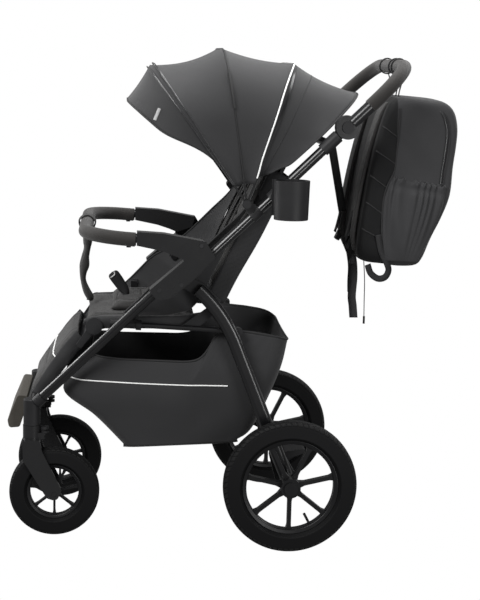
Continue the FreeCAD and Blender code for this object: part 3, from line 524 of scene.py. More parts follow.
gores = (
    ("canopy_gore_rear", rear_edge, bow_line("rear", 60), 9, ("upper_frame", "canopy_rear"),
     "canopy_panel_rear", (0.26, 0.86), 0.109),
    ("canopy_gore_mid", bow_line("rear"), bow_line("mid"), 8, ("canopy_rear", "canopy_mid"),
     "canopy_panel_mid", (0.16, 0.98), 0.110),
    ("canopy_gore_front", bow_line("mid"), bow_line("front"), 13, ("canopy_mid", "canopy_front"),
     "canopy_panel_front", (0.17, 1.0), 0.118),
)
for name, first, second, sag, riders, node, flat, area in gores:
    gore = sewn_sheet(name, 96, 20, bay(first, second, sag), cloth, outward=Vector((0, 0, 1)))
    drape("cloth_black", *riders, FAN.lerp(first(0.5), 0.7), FAN.lerp(second(0.5), 0.7), gore)
    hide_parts(node)

visor = sewn_sheet("canopy_visor", 96, 12, bay(bow_line("front", 80), visor_edge, 3), cloth,
                   outward=Vector((-0.7, 0, 0.7)))
fasten("canopy_front", "cloth_black", visor)

white_cord = Finish("white_piping", (0.78, 0.78, 0.77), 0.6)
white_cord.relief(white_cord.noise(1500, 3), 0.0002, 0.5)
binding = Finish("glossy_binding", (0.02, 0.02, 0.021), 0.3, Coat_Weight=0.3, Coat_Roughness=0.2)
binding.feed("Roughness", binding.noise(60, 3) * 0.2 + 0.2)
binding.relief(binding.noise(900, 3), 0.00015, 0.5)
tape = Finish("seam_tape", (0.008, 0.008, 0.0085), 0.75)
tape.relief(tape.noise(1200, 3), 0.0003, 0.6)
tag_cloth = Finish("woven_tag", (0.3, 0.3, 0.3), 0.7)
tag_cloth.tint(tag_cloth.noise(600, 3), (0.22, 0.22, 0.22), (0.4, 0.4, 0.4))
tag_starts = [at(-304.2 - 1.7 * step, -420, 980 - 4.2 * step) for step in range(7)]
tag_line = met(visor, tag_starts, Vector((0, 1, 0)), 0.0022)
tag = strap("canopy_tag", tag_line, 7, 0.9, tag_cloth, (-0.15, -1, 0.25))
fasten("canopy_front", "cloth_black", tag)
puller = thread("canopy_zip_pull", [on_bow("mid", 0.16 + 0.012 * i, 5.5) for i in range(9)], 2.6,
                tape)
fasten("canopy_mid", "cloth_black", puller)


def arch_points(line, count=60):
    return [line(i / (count - 1)) for i in range(count)]


edgings = [
    ("canopy_piping_white", lambda s: on_bow("rear", s, 3.8, 60), 1.8, white_cord, "canopy_rear"),
    ("canopy_tape_mid", lambda s: on_bow("mid", s, 2.0, 50), 1.5, tape, "canopy_mid"),
    ("canopy_binding_visor", visor_edge, 1.6, tape, "canopy_front"),
]
for shift in (-6.5, 6.5):
    angle_step = degrees(shift / 300)
    edgings.append(("canopy_binding_%s" % ("a" if shift < 0 else "b"),
                    lambda s, step=angle_step: fanned(*arch(s, 268, 358.5, 52), 125.7 + step),
                    1.5, binding, "canopy_front"))
edgings.append(("canopy_hem_rear", rear_edge, 2.2, tape, "upper_frame"))
for name, line, radius, finish, body in edgings:
    fasten(body, "cloth_black", thread(name, arch_points(line), radius, finish))

rear_bay = bay(rear_edge, bow_line("rear", 60), 9)
second_seam = thread("canopy_seam_rear", arch_points(lambda s: rear_bay(s, 0.7)), 0.9, tape)
drape("cloth_black", "upper_frame", "canopy_rear", FAN.lerp(rear_edge(0.5), 0.7),
      FAN.lerp(on_bow("rear", 0.5), 0.7), second_seam)

# ---- Basket
# One big polyester bucket hung from the frame, lower at the front where shopping goes in and
# higher at the back as a pocket. White piping is sewn round both sides at mid height.

# The folds give X and the share of the wall's height, and the rim gives X and Z.
FRONT_FOLD = ((-372, 0.0), (-440, 0.33), (-510, 0.6), (-478, 0.86), (-448, 1.0))
REAR_FOLD = ((-108, 0.0), (-72, 0.14), (-18, 0.69), (0, 1.0))
RIM = ((-470, 424), (-447, 419), (-378, 413), (-234, 410), (-206, 414), (-184, 434),
       (-168, 472), (-148, 484), (-110, 484), (-72, 480), (-36, 474), (-14, 469), (8, 460))


def between(table, where):
    """The value at where, on straight runs between the pairs of a table."""
    for (x0, y0), (x1, y1) in zip(table, table[1:]):
        if where <= x1:
            return y0 + (y1 - y0) * max(0, where - x0) / (x1 - x0)
    return table[-1][1]


WALL, FLOOR_HALF = 220, 142
PLAN_LENGTH, PLAN_WIDTH, CORNER = 480, 330, 42
front_line, rear_line = [smooth_line([Vector((x, 0, share * WALL)) for x, share in fold], 41)
                         for fold in (FRONT_FOLD, REAR_FOLD)]


def on_plan(s):
    """Round the rectangular plan from the near front corner: share towards the rear, and side."""
    runs = (PLAN_LENGTH - 2 * CORNER, CORNER * pi / 2, PLAN_WIDTH - 2 * CORNER, CORNER * pi / 2)
    way = s % 1 * 2 * sum(runs)
    x, y, turn = -PLAN_LENGTH / 2 + CORNER, -PLAN_WIDTH / 2, 0.0
    for run in range(8):
        size = runs[run % 4]
        step = min(way, size)
        if run % 2 == 0:
            x, y = x + cos(turn) * step, y + sin(turn) * step
        else:
            swung = turn + step / CORNER
            x += CORNER * (sin(swung) - sin(turn))
            y -= CORNER * (cos(swung) - cos(turn))
            turn = swung
        way -= step
        if way <= 0:
            break
    return x / PLAN_LENGTH + 0.5, 2 * y / PLAN_WIDTH


def part_way(line, share):
    """The point at a share of the way along a line of evenly spaced points."""
    reach = share * (len(line) - 1)
    step = min(int(reach), len(line) - 2)
    return line[step].lerp(line[step + 1], reach - step)


def floor_height(rearward):
    return 203 + 13 * rearward


def bucket(s, v):
    """The wall of the basket, s round its plan and v from the floor to the rim."""
    rearward, side = on_plan(s)
    wall = part_way(front_line, v).lerp(part_way(rear_line, v), rearward)
    low, high = floor_height(rearward), between(RIM, -448 + 450 * rearward)
    high -= 6 * smooth(0.85, 1, rearward) * (1 - side * side)
    x, z = wall.x, low + (high - low) * wall.z / WALL
    belly = sin(pi * v)
    width = FLOOR_HALF + (16 + 28 * rearward) * smooth(0, 0.75, v) + 7 * belly
    ripple = 1.6 * sin(x / 23 + z / 60) * smooth(0.55, 1, rearward) * belly
    return at(x, side * (width + ripple), z)


basket = sewn_sheet("basket_bucket", 180, 40, bucket, cloth, 1.8)


def basket_floor(u, v):
    """The floor between the feet of both folds, which hangs down a little in the middle."""
    sag = 5 * sin(pi * u) * sin(pi * v)
    half = FLOOR_HALF * (1 - 0.06 * (abs(2 * u - 1) ** 8))
    return at(-372 + 264 * u, (2 * v - 1) * half, floor_height(u) - sag)


basket_base = sewn_sheet("basket_base", 24, 24, basket_floor, cloth, 1.8)
rim_points = [bucket(i / 120, 1.0) for i in range(120)]
rim_binding = thread("basket_rim", rim_points + rim_points[:2], 2.4, tape)


def on_wall(s, height):
    """The place on the wall at a height in millimetres above the floor."""
    low, high = 0.0, 1.0
    for _ in range(24):
        v = (low + high) / 2
        if bucket(s, v).z * 1000 < height:
            low = v
        else:
            high = v
    return bucket(s, v)


side_run = (PLAN_LENGTH - 2 * CORNER) / (2 * (PLAN_LENGTH + PLAN_WIDTH + (pi - 4) * CORNER))
side_piping = [on_wall(side_run * (0.83 * i / 40) - 0.03 * (1 - i / 40),
                       366 - 9 * i / 40 - 3 * sin(i / 40 * pi)) for i in range(41)]
pocket_seam = [on_wall(side_run * (0.74 + 0.26 * i / 20), 487 - 14 * i / 20) for i in range(21)]
soft_pieces = [basket, basket_base, rim_binding]
for name, sewn, out, radius, finish in (("piping", side_piping, 0.0009, 1.5, white_cord),
                                        ("seam", pocket_seam, 0.0008, 1.1, tape)):
    for side, mirror in (("near", 1), ("far", -1)):
        line = [Vector((p.x, AXLE.y + (p.y - AXLE.y - out) * mirror, p.z)) for p in sewn]
        soft_pieces.append(thread("basket_%s_%s" % (name, side), line, radius, finish))
drape("cloth_black", "rear_frame", "front_frame", at(-60, 0, 300), at(-420, 0, 380), *soft_pieces)
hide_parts("basket")

# ---- Seat cushion
# A thin foam base with a thicker pad on it, in a matt padded fabric that is stitched through in
# channels. Each pad is filled as cloth under pressure, the channels are drawn into its face, and
# a thread is laid along each.
quilt = Finish("padded_cover", (0.021, 0.0205, 0.02), 0.74, Specular_IOR_Level=0.32,
               Sheen_Weight=0.12, Sheen_Roughness=0.45)
pile = woven(quilt, 0.0014, 0.0006)
rubbed_pad = quilt.noise(12, 4)
quilt.tint(rubbed_pad, (0.017, 0.0165, 0.0165), (0.027, 0.026, 0.025))
quilt.feed("Roughness", pile * 0.4 + rubbed_pad * 0.16 + 0.58)
stitching = Finish("stitch_thread", (0.012, 0.012, 0.0125), 0.6)
stitching.relief(stitching.noise(1600, 2), 0.0003, 0.6)
FILLING_STEPS = 20


def applied(piece):
    """Make what the modifiers give the piece's own mesh."""
    graph = bpy.context.evaluated_depsgraph_get()
    made = bpy.data.meshes.new_from_object(piece.evaluated_get(graph))
    piece.modifiers.clear()
    piece.data = made
    made.shade_smooth()


def slab(name, profile, half, round_by, finish):
    """A closed block with a side profile in X and Z, across both sides of the middle plane."""
    mesh = bmesh.new()
    side = mesh.faces.new([mesh.verts.new(at(x, -half, z)) for x, z in profile])
    grown = bmesh.ops.extrude_face_region(mesh, geom=[side])["geom"]
    bmesh.ops.translate(mesh, vec=(0, 2 * half / 1000, 0),
                        verts=[part for part in grown if isinstance(part, bmesh.types.BMVert)])
    bmesh.ops.recalc_face_normals(mesh, faces=mesh.faces)
    bmesh.ops.bevel(mesh, geom=mesh.edges[:], offset=round_by / 1000, segments=3, profile=0.5,
                    affect="EDGES", material=-1, clamp_overlap=True)
    return shown(name, mesh, finish)


def plump(piece, cap):
    """Fill a pad: cloth under pressure, with no point moving further than cap millimetres."""
    skin = piece.modifiers.new("skin", "REMESH")
    skin.mode, skin.voxel_size = "VOXEL", 0.006
    applied(piece)
    still = [vertex.co.copy() for vertex in piece.data.vertices]
    filling = piece.modifiers.new("filling", "CLOTH")
    filling.settings.use_pressure = True
    filling.settings.uniform_pressure_force = 4.0
    filling.settings.effector_weights.gravity = 0
    filling.point_cache.frame_start, filling.point_cache.frame_end = 1, FILLING_STEPS
    for moment in range(1, FILLING_STEPS + 1):
        scene.frame_set(moment)
    applied(piece)
    scene.frame_set(1)
    for vertex, was in zip(piece.data.vertices, still):
        move = vertex.co - was
        if move.length > cap / 1000:
            vertex.co = was + move.normalized() * cap / 1000
    finer = piece.modifiers.new("finer", "SUBSURF")
    finer.levels = finer.render_levels = 1
    applied(piece)


def channels(piece, lines, outward, depth=3.0, width=5.0):
    """Draw sewn lines into the face of a pad, and lay a thread in each."""
    marks = [point for line in lines for point in smooth_line(line, 90)]
    tree = KDTree(len(marks))
    for index, mark in enumerate(marks):
        tree.insert(mark, index)
    tree.balance()
    outward = Vector(outward).normalized()
    normals = [vertex.normal.copy() for vertex in piece.data.vertices]
    for vertex, normal in zip(piece.data.vertices, normals):
        facing = normal.dot(outward)
        if facing > 0.1:
            mark = tree.find(vertex.co)[0]
            gap = vertex.co - mark
            gap = (gap - outward * gap.dot(outward)).length * 1000
            vertex.co -= normal * depth / 1000 * exp(-(gap / width) ** 2)
    threads_laid = []
    for index, line in enumerate(lines):
        starts = [point + outward * 0.09 for point in smooth_line(line, 60)]
        laid = met(piece, starts, -outward, 0.0003)
        if len(laid) > 5:
            threads_laid.append(thread("%s_stitch_%d" % (piece.name, index), laid, 0.7, stitching))
    return threads_laid


def mirrored(half, middle):
    """Half a row of places, the middle one, and the half again with its last number turned."""
    return [*half, middle, *((*place[:-1], -place[-1]) for place in reversed(half))]


seat = slab("seat_base", [(-463, 503), (-463, 507), (-446, 511), (-219, 511), (-219, 503)],
            162, 4, quilt)
plump(seat, 4)
seat_threads = channels(seat, [[at(x, side * 140, 518) for x in (-440, -380, -320, -260, -225)]
                               for side in (-1, 1)], (0, 0, 1), 1.6, 4.0)
insert = slab("seat_insert", [(-410, 518), (-410, 523), (-396, 529), (-219, 531), (-219, 518)],
              120, 5, quilt)
plump(insert, 7)
insert_lines = [mirrored([(-224, -84), (-280, -86), (-340, -84), (-372, -76), (-388, -50)],
                         (-392, 0)),
                mirrored([(-280, -80), (-280, -40)], (-280, 0)),
                mirrored([(-335, -78), (-335, -40)], (-335, 0))]
insert_threads = channels(insert, [[at(x, y, 540) for x, y in line] for line in insert_lines],
                          (0, 0, 1), 2.6)
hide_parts("seat_pad")
fasten("front_frame", "quilt_black", seat, insert, *seat_threads, *insert_threads)

# ---- Leg rest
# A foam pad on the hinged board before the seat, stitched like the seat, with white piping
# across its face. Cloth side panels close the gap between the pad and the board.
SIDES = ((-1, "left"), (1, "right"))
legrest = slab("legrest_cushion", [(-474, 482), (-489, 465), (-510, 439), (-543, 394),
                                   (-568, 356), (-586, 328), (-572, 324), (-475, 460)],
               143, 5, quilt)
plump(legrest, 5)
rest_out = Vector((-0.81, 0, 0.58))
rest_lines = [[at(x, y, z) for x, z in ((-482, 486), (-504, 458), (-528, 424), (-554, 386),
                                       (-576, 350))] for y in (-100, 100)]
rest_lines.append([at(-556, y, 386) for y in (-94, -45, 0, 45, 94)])
rest_threads = channels(legrest, rest_lines, rest_out)
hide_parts("legrest_pad")
piping_starts = [at(-531 - 5 * cos(y / 146 * pi / 2), y, 413) + rest_out * 0.08
                 for y in (-146 + 292 * step / 80 for step in range(81))]
rest_piping = thread("legrest_piping", met(legrest, piping_starts, -rest_out, 0.0008), 1.6,
                     white_cord)
fasten("legrest", "quilt_black", legrest, rest_piping, *rest_threads)


def smooth_pairs(pairs, count, y=0):
    """A smooth line through pairs of X and Z, all of them at one Y."""
    return smooth_line([at(x, y, z) for x, z in pairs], count)


def rest_side(side):
    """The side panel of the leg rest, u down its length and v from the pad to the board."""
    front = smooth_pairs([(-482, 474), (-508, 443), (-541, 396), (-566, 357), (-582, 331)], 33)
    back = smooth_pairs([(-462, 452), (-482, 421), (-512, 380), (-540, 344), (-560, 322)], 33)

    def place(u, v):
        point = part_way(front, u).lerp(part_way(back, u), v)
        swell = 144 + 3.5 * sin(pi * v) + 0.8 * sin(u * 19)
        return Vector((point.x, AXLE.y + side * swell / 1000, point.z))
    return place


for side, edge in SIDES:
    rest_panel = sewn_sheet("legrest_side_" + edge, 40, 10, rest_side(side), cloth, 1.4,
                            outward=Vector((0, side, 0)))
    fasten("legrest", "cloth_black", rest_panel)

# ---- Kick plate
# The plate at the foot of the leg rest has a wipe-clean leatherette skin, olive brown and finely
# embossed, which lightens a little where shoes rub it.
hide = Finish("kick_leatherette", (0.045, 0.041, 0.034), 0.5, Specular_IOR_Level=0.4)
hide_mottle = hide.noise(28, 4)
pits = hide.node("TexVoronoi", {"feature": "DISTANCE_TO_EDGE"}, {"Scale": 520.0})
hide.tint(hide_mottle, (0.036, 0.032, 0.027), (0.062, 0.056, 0.045))
hide.feed("Roughness", hide_mottle * 0.2 + 0.36)
hide.relief(pits, 0.0006, 0.7)
paint(hide, "footrest")

# ---- Backrest
# A foam back on a stiff board that reclines, stitched in panels. A cloth cover wraps it from
# behind, and padded webbing straps come over the shoulders.
RECLINE = Vector(JOINT["recline"]["pos_m"])
LEAN = radians(65)


def on_back(along, off, y):
    """A place on the backrest, up from its hinge and forward of its board."""
    return RECLINE + Vector((along * cos(LEAN) - off * sin(LEAN), y,
                             along * sin(LEAN) + off * cos(LEAN))) / 1000


def back_profile(pairs):
    found = [on_back(along, off, 0) - at(0, 0, 0) for along, off in pairs]
    return [(point.x * 1000, point.z * 1000) for point in found]


back = slab("backrest_cushion", back_profile([(38, 5), (38, 28), (60, 33), (380, 33), (416, 27),
                                              (416, 5)]), 151, 8, quilt)
plump(back, 6)
front_of_back = (-sin(LEAN), 0, cos(LEAN))
back_lines = [[on_back(*place) for place in mirrored(
    [(44, 36, -104), (120, 38, -108), (220, 38, -108), (320, 38, -104), (370, 38, -80)],
    (384, 38, 0))]]
back_lines += [[on_back(along, 38, y) for y in (-reach, -50, 0, 50, reach)]
               for along, reach in ((130, 102), (215, 102), (300, 98))]
back_threads = channels(back, back_lines, front_of_back)
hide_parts("backrest_pad")


def back_cover(u, v):
    """The cover behind the board, wrapped round to the front edge of the pad on both sides."""
    s = 2 * abs(u - 0.5)
    side = -1 if u < 0.5 else 1
    along = 24 + 318 * v
    bulge = 5 + 12 * v
    if s > 0.8:
        t = (s - 0.8) / 0.2
        y = 171
        off = -13 - bulge + (38 + bulge) * t
    else:
        t = s / 0.8
        y = 171 * t
        off = -14 - bulge - 3 * cos(t * pi / 2)
        corner = max(0, (t - 0.9) / 0.1)
        off += 3 * corner * corner
        y -= 2 * corner * corner
    off += 1.2 * sin(along / 31 + side * 1.3) * (1 - t if s > 0.8 else 1)
    return on_back(along, off, side * y)


cover = sewn_sheet("backrest_cover", 64, 48, back_cover, cloth, 1.6)
fasten("backrest", "quilt_black", back, cover, *back_threads)

webbing = Finish("harness_webbing", (0.013, 0.013, 0.0135), 0.66, Specular_IOR_Level=0.35)
ribs_along = webbing.node("TexWave", {"wave_type": "BANDS", "bands_direction": "DIAGONAL"},
                          {"Vector": webbing.object, "Scale": 190.0, "Distortion": 0.6})
webbing.tint(ribs_along, (0.009, 0.009, 0.0095), (0.02, 0.02, 0.021))
webbing.relief(ribs_along, 0.0005, 0.7)
for side, edge in SIDES:
    pad = sewn_sheet("shoulder_pad_" + edge, 14, 40, lambda u, v, side=side: on_back(
        95 + 205 * v, 41 + 4 * sin(pi * u) * sin(pi * v) ** 0.3,
        side * (50 + 4 * v) + (u - 0.5) * 44), quilt, 5.0,
        outward=Vector(front_of_back))
    band = strap("shoulder_strap_" + edge, [
        on_back(350, 36, side * 56), on_back(338, 41, side * 56), on_back(310, 43.5, side * 55),
        on_back(200, 48, side * 53), on_back(90, 44, side * 48), on_back(66, 43, side * 38),
        on_back(52, 42, side * 22)], 25, 1.6, webbing, front_of_back)
    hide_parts("shoulder_straps")
    fasten("backrest", "cloth_black", pad, band)

# ---- Harness crotch strap and bumper strap
# A padded webbing stub rises between the legs, with a pale line sewn near its tip. A wrapped
# strap closes round the middle of the bumper and runs down to the front of the seat.


def sausage(name, stations, finish, across=28, along=48):
    """A soft closed strap; each station is (x, z, half thickness in X, half width in Y)."""
    rings = smooth_line([Vector((x, hx * 3, z)) for x, z, hx, _ in stations], along + 1)
    wides = smooth_line([Vector((x, hy * 3, z)) for x, z, _, hy in stations], along + 1)

    def place(u, v):
        step = round(v * along)
        ahead = rings[min(step + 1, along)] - rings[max(step - 1, 0)]
        normal = Vector((ahead.z, 0, -ahead.x)).normalized()
        closing = max(0.0, 1 - abs(2 * v - 1) ** 14) ** 0.5
        turn = 2 * pi * u
        reach = rings[step].y / 3 * closing * cos(turn)
        width = wides[step].y / 3 * closing * sin(turn)
        return at(rings[step].x + normal.x * reach, width, rings[step].z + normal.z * reach)

    return shown(name, laid_grid(across, along, place, 0.0002), finish)


crotch = sausage("crotch_strap", [(-368, 531, 5, 10), (-374, 546, 11, 8), (-386, 563, 13, 7),
                                  (-396, 577, 13.5, 7), (-404, 588, 13, 6)], webbing)
stripe = strap("crotch_stripe", [at(-398.1, -7.6, 590), at(-398, -8, 582.4),
                                 at(-406.5, -7.6, 575.5)], 2.6, 1.2, white_cord, (0, -1, 0))
hang = sausage("bumper_strap", [(-461, 694, 8, 20), (-461, 664, 11, 20), (-462, 644, 8, 17),
                                (-466, 624, 9, 17), (-468, 604, 11.5, 18), (-471, 584, 8, 16),
                                (-470, 566, 6.5, 15), (-463, 545, 8.5, 16),
                                (-455, 530, 9.5, 17), (-449, 519, 9, 16)], quilt, 28, 80)


bar_low, bar_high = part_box("bumper_cover")
BUMPER_FRONT = Vector((bar_low.x + 0.0155, AXLE.y, bar_high.z - 0.0155))


def wrap_round(u, v):
    """The padded sleeve round the middle of the bumper, u round it and v across it."""
    turn = 2 * pi * u
    swell = 19.5 + 1.2 * sin(pi * v) + 0.5 * sin(5 * turn)
    return BUMPER_FRONT + Vector((cos(turn) * swell, (v - 0.5) * 46,
                                  sin(turn) * swell)) / 1000


wrap = sewn_sheet("bumper_wrap", 40, 12, wrap_round, quilt, 2.4)
fasten("front_frame", "cloth_black", crotch, stripe)
drape("quilt_black", "front_frame", "bumper", at(-455, 0, 530), at(-462, 0, 680), hang)
fasten("bumper", "quilt_black", wrap)


def set_block(name, mesh, rounding, tilt, where, finish):
    """Round the edges of a moulded block, tilt it about Y and put it in its place."""
    bmesh.ops.bevel(mesh, geom=mesh.edges[:], offset=rounding[0], segments=rounding[1],
                    profile=0.5, affect="EDGES", material=-1)
    bmesh.ops.rotate(mesh, cent=(0, 0, 0), matrix=Matrix.Rotation(radians(tilt), 3, "Y"),
                     verts=mesh.verts)
    bmesh.ops.translate(mesh, vec=where, verts=mesh.verts)
    return shown(name, mesh, finish)


# A thin rubber lip closes the joint between each end of the foam and the moulded arm behind it.
for side, edge in SIDES:
    lip = bmesh.new()
    bmesh.ops.create_cone(lip, cap_ends=True, segments=40, radius1=0.0135, radius2=0.0135,
                          depth=0.0024)
    fasten("bumper", "joint_plastic", set_block("bumper_lip_" + edge, lip, (0.0003, 2), 94,
                                                at(-351.2, side * 253, 696.5), nylon))

# ---- Seat sides and wings
# The cover's side panels hang below the seat edge, and its wings rise from the sides of the pad
# to a bound edge beside the upper tubes, which holds the child's cover open.


def skirt(side):
    """The side panel below the seat edge, u rearwards and v up."""
    top = smooth_pairs([(-464, 505), (-440, 512), (-400, 514), (-335, 515), (-260, 516),
                        (-196, 524)], 41)
    low = smooth_pairs([(-466, 494), (-430, 487), (-400, 486), (-363, 487), (-300, 487),
                        (-238, 488), (-212, 496), (-192, 508)], 41)

    def place(u, v):
        point = part_way(low, u).lerp(part_way(top, u), v)
        bow = 171 + 3.5 * sin(pi * v) - 150 * max(0, v - 0.8) ** 2
        return Vector((point.x, AXLE.y + side * bow / 1000, point.z))
    return place


def wing(side):
    """The cover's wing, u from the seat's front up the back, and v out to the tube."""
    inner = smooth_line([at(-372, 170, 515), at(-320, 168, 516), at(-262, 165, 519),
                         at(-214, 162, 542), on_back(70, 36, 0), on_back(140, 36, 0),
                         on_back(210, 36, 0), on_back(290, 34, 0)], 49)
    inner = [Vector((p.x, max(p.y, AXLE.y + 0.162), p.z)) for p in inner]
    outer = smooth_line([at(*place) for place in (
        (-374, 210, 528), (-344, 213, 557), (-305, 216, 597), (-262, 219, 622),
        (-212, 220, 665), (-160, 222, 717), (-124, 223, 752), (-104, 224, 776))], 49)

    def place(u, v):
        point = part_way(inner, u).lerp(part_way(outer, u), v)
        slack = 9 * sin(pi * v) * sin(pi * u) ** 0.5
        ripple = 1.5 * sin(u * 21 + v * 4) * sin(pi * v)
        point += Vector((slack * 0.7 + ripple, 0, -slack * 0.7 + ripple)) / 1000
        return Vector((point.x, AXLE.y + (point.y - AXLE.y) * side, point.z))
    return place


for side, edge in SIDES:
    panel = sewn_sheet("seat_side_" + edge, 56, 14, skirt(side), cloth, 1.6)
    hem = thread("seat_hem_" + edge, [skirt(side)(i / 60, 0) for i in range(61)], 1.5, tape)
    sail = sewn_sheet("seat_wing_" + edge, 60, 20, wing(side), cloth, 1.6)
    bound = thread("wing_binding_" + edge, [wing(side)(i / 60, 1) for i in range(61)], 2.2, tape)
    fasten("front_frame", "cloth_black", panel, hem)
    drape("cloth_black", "front_frame", "upper_frame", at(-290, 0, 640), at(-150, 0, 730), sail,
          bound)

# ---- Recline strap
# A pull strap of doubled webbing hangs behind the back. It is drawn through a buckle to set how
# far the back leans.
pull_strap = strap("recline_strap", [at(x, 10, z) for x, z in (
    (100, 912), (108, 888), (118, 840), (128, 790), (138, 740))], 19, 3, webbing, (0.2, -1, 0))
fasten("upper_frame", "cloth_black", pull_strap)

# ---- Backpack
# A padded polyester backpack hung by cord loops from the crossbar of the handle. Its side
# pockets are gathered on elastic, its back is a ribbed pad painted near-black as painted shade,
# and it slumps at the base.
bagcloth = Finish("backpack_cloth", (0.024, 0.024, 0.0255), 0.78, Specular_IOR_Level=0.2,
                  Sheen_Weight=0.06, Sheen_Roughness=0.45)
bag_threads = woven(bagcloth, 0.0012, 0.00015)
bag_wear = bagcloth.noise(11, 4)
bagcloth.feed("Roughness", bag_threads * 0.4 + bag_wear * 0.14 + 0.62)
# The back panel, nearest the handle, is painted near-black: painted shade. The sides keep the lighter
# cloth colour, varied by wear.
place_x, _, place_z = bagcloth.split(bagcloth.object)
lift = ((place_z - 0.78) * 12.0).stepped(0.0, 1.0)
panel_edge = (place_x - (AXLE.x + 0.206)) - lift * 0.026
painted_shade_mask = (panel_edge * 60.0 + 0.5).stepped(0.45, 0.55)
bagcloth.tint(painted_shade_mask * (bag_wear * 0.4 + 0.6), (0.0035, 0.0035, 0.0038),
              (0.034, 0.034, 0.0355))

BAG_SIDE = [(215, 636), (172, 641), (155, 658), (157, 704), (175, 844), (192, 931), (207, 982),
            (222, 1006), (248, 1012), (300, 1009), (340, 1004), (363, 985), (372, 950),
            (371, 905), (366, 855), (361, 792), (344, 743), (319, 690), (302, 648), (287, 633),
            (250, 631)]
BAG_MIDDLE = Vector((265, 0, 820))
BAG_HALF, AROUND, ACROSS = 146, 120, 96
bag_loop = smooth_line([Vector((x, 0, z)) for x, z in BAG_SIDE + BAG_SIDE[:1]], AROUND + 1)
bag_across = smooth_line([Vector((*pair, 0)) for pair in mirrored(
    [(0, -1.03), (0.45, -1.02), (0.86, -1.0), (0.96, -0.965), (1.0, -0.87), (1.012, -0.4)],
    (1.015, 0))], ACROSS + 1)


def bag_skin(u, v):
    """The shell of the bag, u round its outline and v from one side through to the other."""
    spoke = bag_loop[round(u * AROUND) % AROUND] - BAG_MIDDLE
    share, w = bag_across[round(v * ACROSS)][:2]
    flatness = min(1, max(0, (abs(w) - 0.93) / 0.07))
    point = BAG_MIDDLE + spoke * share
    fold = (1.6 * sin(point.z / 19 + point.x / 41) * sin(point.x / 27)
            * (0.4 + 0.6 * flatness))
    slump = 3.5 * exp(-((point.z - 668) / 34) ** 2)
    point += spoke.normalized() * (1 - flatness) * (fold * 0.8 + slump * 0.4)
    return at(point.x, w * (BAG_HALF + (slump + fold) * flatness), point.z)


bag = shown("backpack", laid_grid(AROUND, ACROSS, bag_skin), bagcloth)
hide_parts("bag_body")
bag_pieces = [bag]


def side_pocket(side):
    """A pocket gathered on elastic, u rearwards and v up to its ruffled mouth."""
    fore, aft = [smooth_line([Vector((x, 0, z)) for x, z in pairs], 41) for pairs in (
        ((214, 645), (206, 706), (208, 790), (221, 838)),
        ((290, 642), (318, 700), (341, 762), (351, 816)))]

    def place(u, v):
        point = part_way(fore, v).lerp(part_way(aft, v), u)
        belly = sin(pi * u) ** 0.6 * sin(pi * min(1, v * 0.97 + 0.03)) ** 0.5
        pleat = sin(u * 44 + 3 * sin(u * 9) + v * 2.2) * v ** 1.3
        fold = sin(u * 13 + v * 6.5 + 1.1) * (1.15 - v) * 3.4
        hold = 1 - 0.55 * exp(-((v - 0.9) / 0.045) ** 2)
        stand = 2.2 + (13 * belly + 3.4 * pleat + fold * sin(pi * v)) * hold
        stand *= min(1, u / 0.03 + 0.12, (1 - u) / 0.03 + 0.12)
        frill = 2.4 * sin(u * 61) * max(0, v - 0.88) / 0.12
        return at(point.x, side * (BAG_HALF + 2 + max(0.8, stand)), point.z + frill)
    return place


for side, edge in SIDES:
    pocket = sewn_sheet("bag_pocket_" + edge, 110, 64, side_pocket(side), bagcloth, 1.4,
                        outward=Vector((0, side, 0)))
    bag_pieces.append(pocket)
    seam = smooth_pairs([(236, 990), (236, 960), (233, 900), (229, 850), (214, 815), (207, 785),
                         (205, 740), (206, 700), (212, 655)], 60, side * 149.6)
    bag_pieces.append(thread("bag_seam_" + edge, seam, 1.6, tape))
    for index, (x0, z0, x1, z1) in enumerate((
        (200, 948, 232, 926), (188, 892, 229, 866), (177, 836, 212, 812), (170, 776, 205, 752),
        (163, 716, 203, 694),
    )):
        rib = smooth_line([at(x0 - 2, side * 143.5, z0 + 1), at(x0 + 6, side * 147.6, z0 - 4),
                           at((x0 + x1) / 2, side * 149, (z0 + z1) / 2), at(x1, side * 149, z1)],
                          24)
        bag_pieces.append(thread("bag_rib_%s_%d" % (edge, index), rib, 1.3, tape))
    zip_line = smooth_line([at(x, side * y, z) for x, y, z in (
        (322, 140, 992), (335, 148.6, 975), (343, 150, 950), (345, 150, 925), (341, 150, 880),
        (337, 150, 848), (335, 150.4, 822))], 50)
    bag_pieces.append(thread("bag_zip_" + edge, zip_line, 1.5, binding))
    far_line = [point + Vector((0.0065, 0, 0.001)) for point in zip_line]
    bag_pieces.append(thread("bag_zip_tape_" + edge, far_line, 0.9, tape))

    pad_line = [at(x, side * 88, z) for x, z in (
        (216, 1000), (200, 972), (184, 920), (170, 860), (158, 796), (149, 730), (147, 690),
        (153, 662))]
    shoulder = strap("bag_shoulder_" + edge, pad_line, 58, 9, quilt, (-0.97, 0, 0.22))
    rounding = shoulder.modifiers.new("rounding", "BEVEL")
    rounding.width, rounding.segments = 0.003, 3
    web = strap("bag_webbing_" + edge, [at(x, side * 84, z) for x, z in (
        (198, 968), (181, 900), (164, 826), (149, 756), (137, 700), (132, 682))], 24, 2.2,
        webbing, (-0.97, 0, 0.22))
    bag_pieces += [shoulder, web]

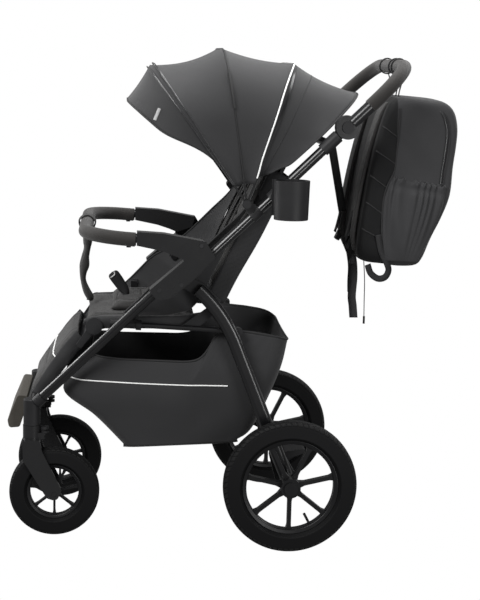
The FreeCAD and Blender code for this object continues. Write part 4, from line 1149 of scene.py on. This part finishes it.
# Ladder buckles hold the webbing where it doubles back, and its loose tails hang below them.
for name, y, points, width in (
    ("bag_tail_near", -78, ((134, 690), (141, 668), (152, 640), (156, 600), (154, 552),
                            (157, 528), (160, 500)), 20),
    ("bag_tail_far", 52, ((158, 668), (166, 640), (172, 604), (172, 566), (173, 540)), 20),
):
    bag_pieces.append(strap(name, [at(x, y, z) for x, z in points], width, 1.8, webbing,
                            (-0.5, -0.86, 0)))
for name, y, x, z, tilt in (("bag_buckle_near", -80, 141, 676, 24),
                            ("bag_buckle_far", 80, 141, 676, 24),
                            ("bag_buckle_lower", -78, 152, 640, 12)):
    block = bmesh.new()
    bmesh.ops.create_cube(block, size=1)
    bmesh.ops.scale(block, vec=(0.011, 0.03, 0.026), verts=block.verts)
    bag_pieces.append(set_block(name, block, (0.0024, 3), tilt, at(x, y, z), nylon))

base_loop = strap("bag_base_loop", [at(*place) for place in (
    (198, -152, 704), (206, -152, 668), (220, -150, 640), (226, -144, 622), (219, -142, 606),
    (203, -140, 602), (186, -140, 614), (178, -140, 634))], 15, 1.6, webbing, (0.25, -1, 0.1))
pull = thread("bag_pull_cord", smooth_line([at(*place) for place in (
    (197, 42, 700), (196, 44, 660), (199, 44, 620), (203, 44, 570), (204, 44, 520),
    (205, 44, 478))], 40), 1.1, webbing)
pull_end = thread("bag_pull_end", [at(205, 44, z) for z in (482, 474, 464)], 2.6, nylon)
bag_pieces += [base_loop, pull, pull_end]

# The loops are wound round the handle's crossbar and tied down to the top of the bag.
BAR = Vector(JOINT["bag_swing"]["pos_m"])
LOOP_R = 0.0178
loops = []
for index, y in enumerate((-88, -52, 66)):
    wound = [BAR + Vector((cos(t) * LOOP_R, y / 1000 + 0.002 * sin(t * 2),
                           sin(t) * LOOP_R))
             for t in [2 * pi * i / 36 for i in range(38)]]
    loops.append(thread("bag_loop_%d" % index, wound, 1.7, tape))
    drop = smooth_line([BAR + Vector((0.004, y / 1000, -LOOP_R)),
                        BAR + Vector((0.008, (y * 0.97) / 1000, -0.036)),
                        BAR + Vector((0.004, (y * 0.93) / 1000, -0.058)),
                        at(243, y * 0.9, 1000), at(245, y * 0.9, 994)], 30)
    loops.append(thread("bag_cord_%d" % index, drop, 1.5, tape))
grab = strap("bag_grab_loop", [at(232, -34, 996), at(231, -30, 1012), at(230, 0, 1021),
                               at(231, 30, 1012), at(232, 34, 996)], 22, 3, webbing,
             lambda t: (0.2, 0, 1) if 0.2 < t < 0.8 else (0.2, 0.9 if t > 0.5 else -0.9, 0.3))
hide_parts("bag_hangers")
fasten("bag", "cloth_black", *bag_pieces, *loops, grab)

size = {"cad": [list(cad_low), list(cad_high)], "visual": [list(p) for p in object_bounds()]}
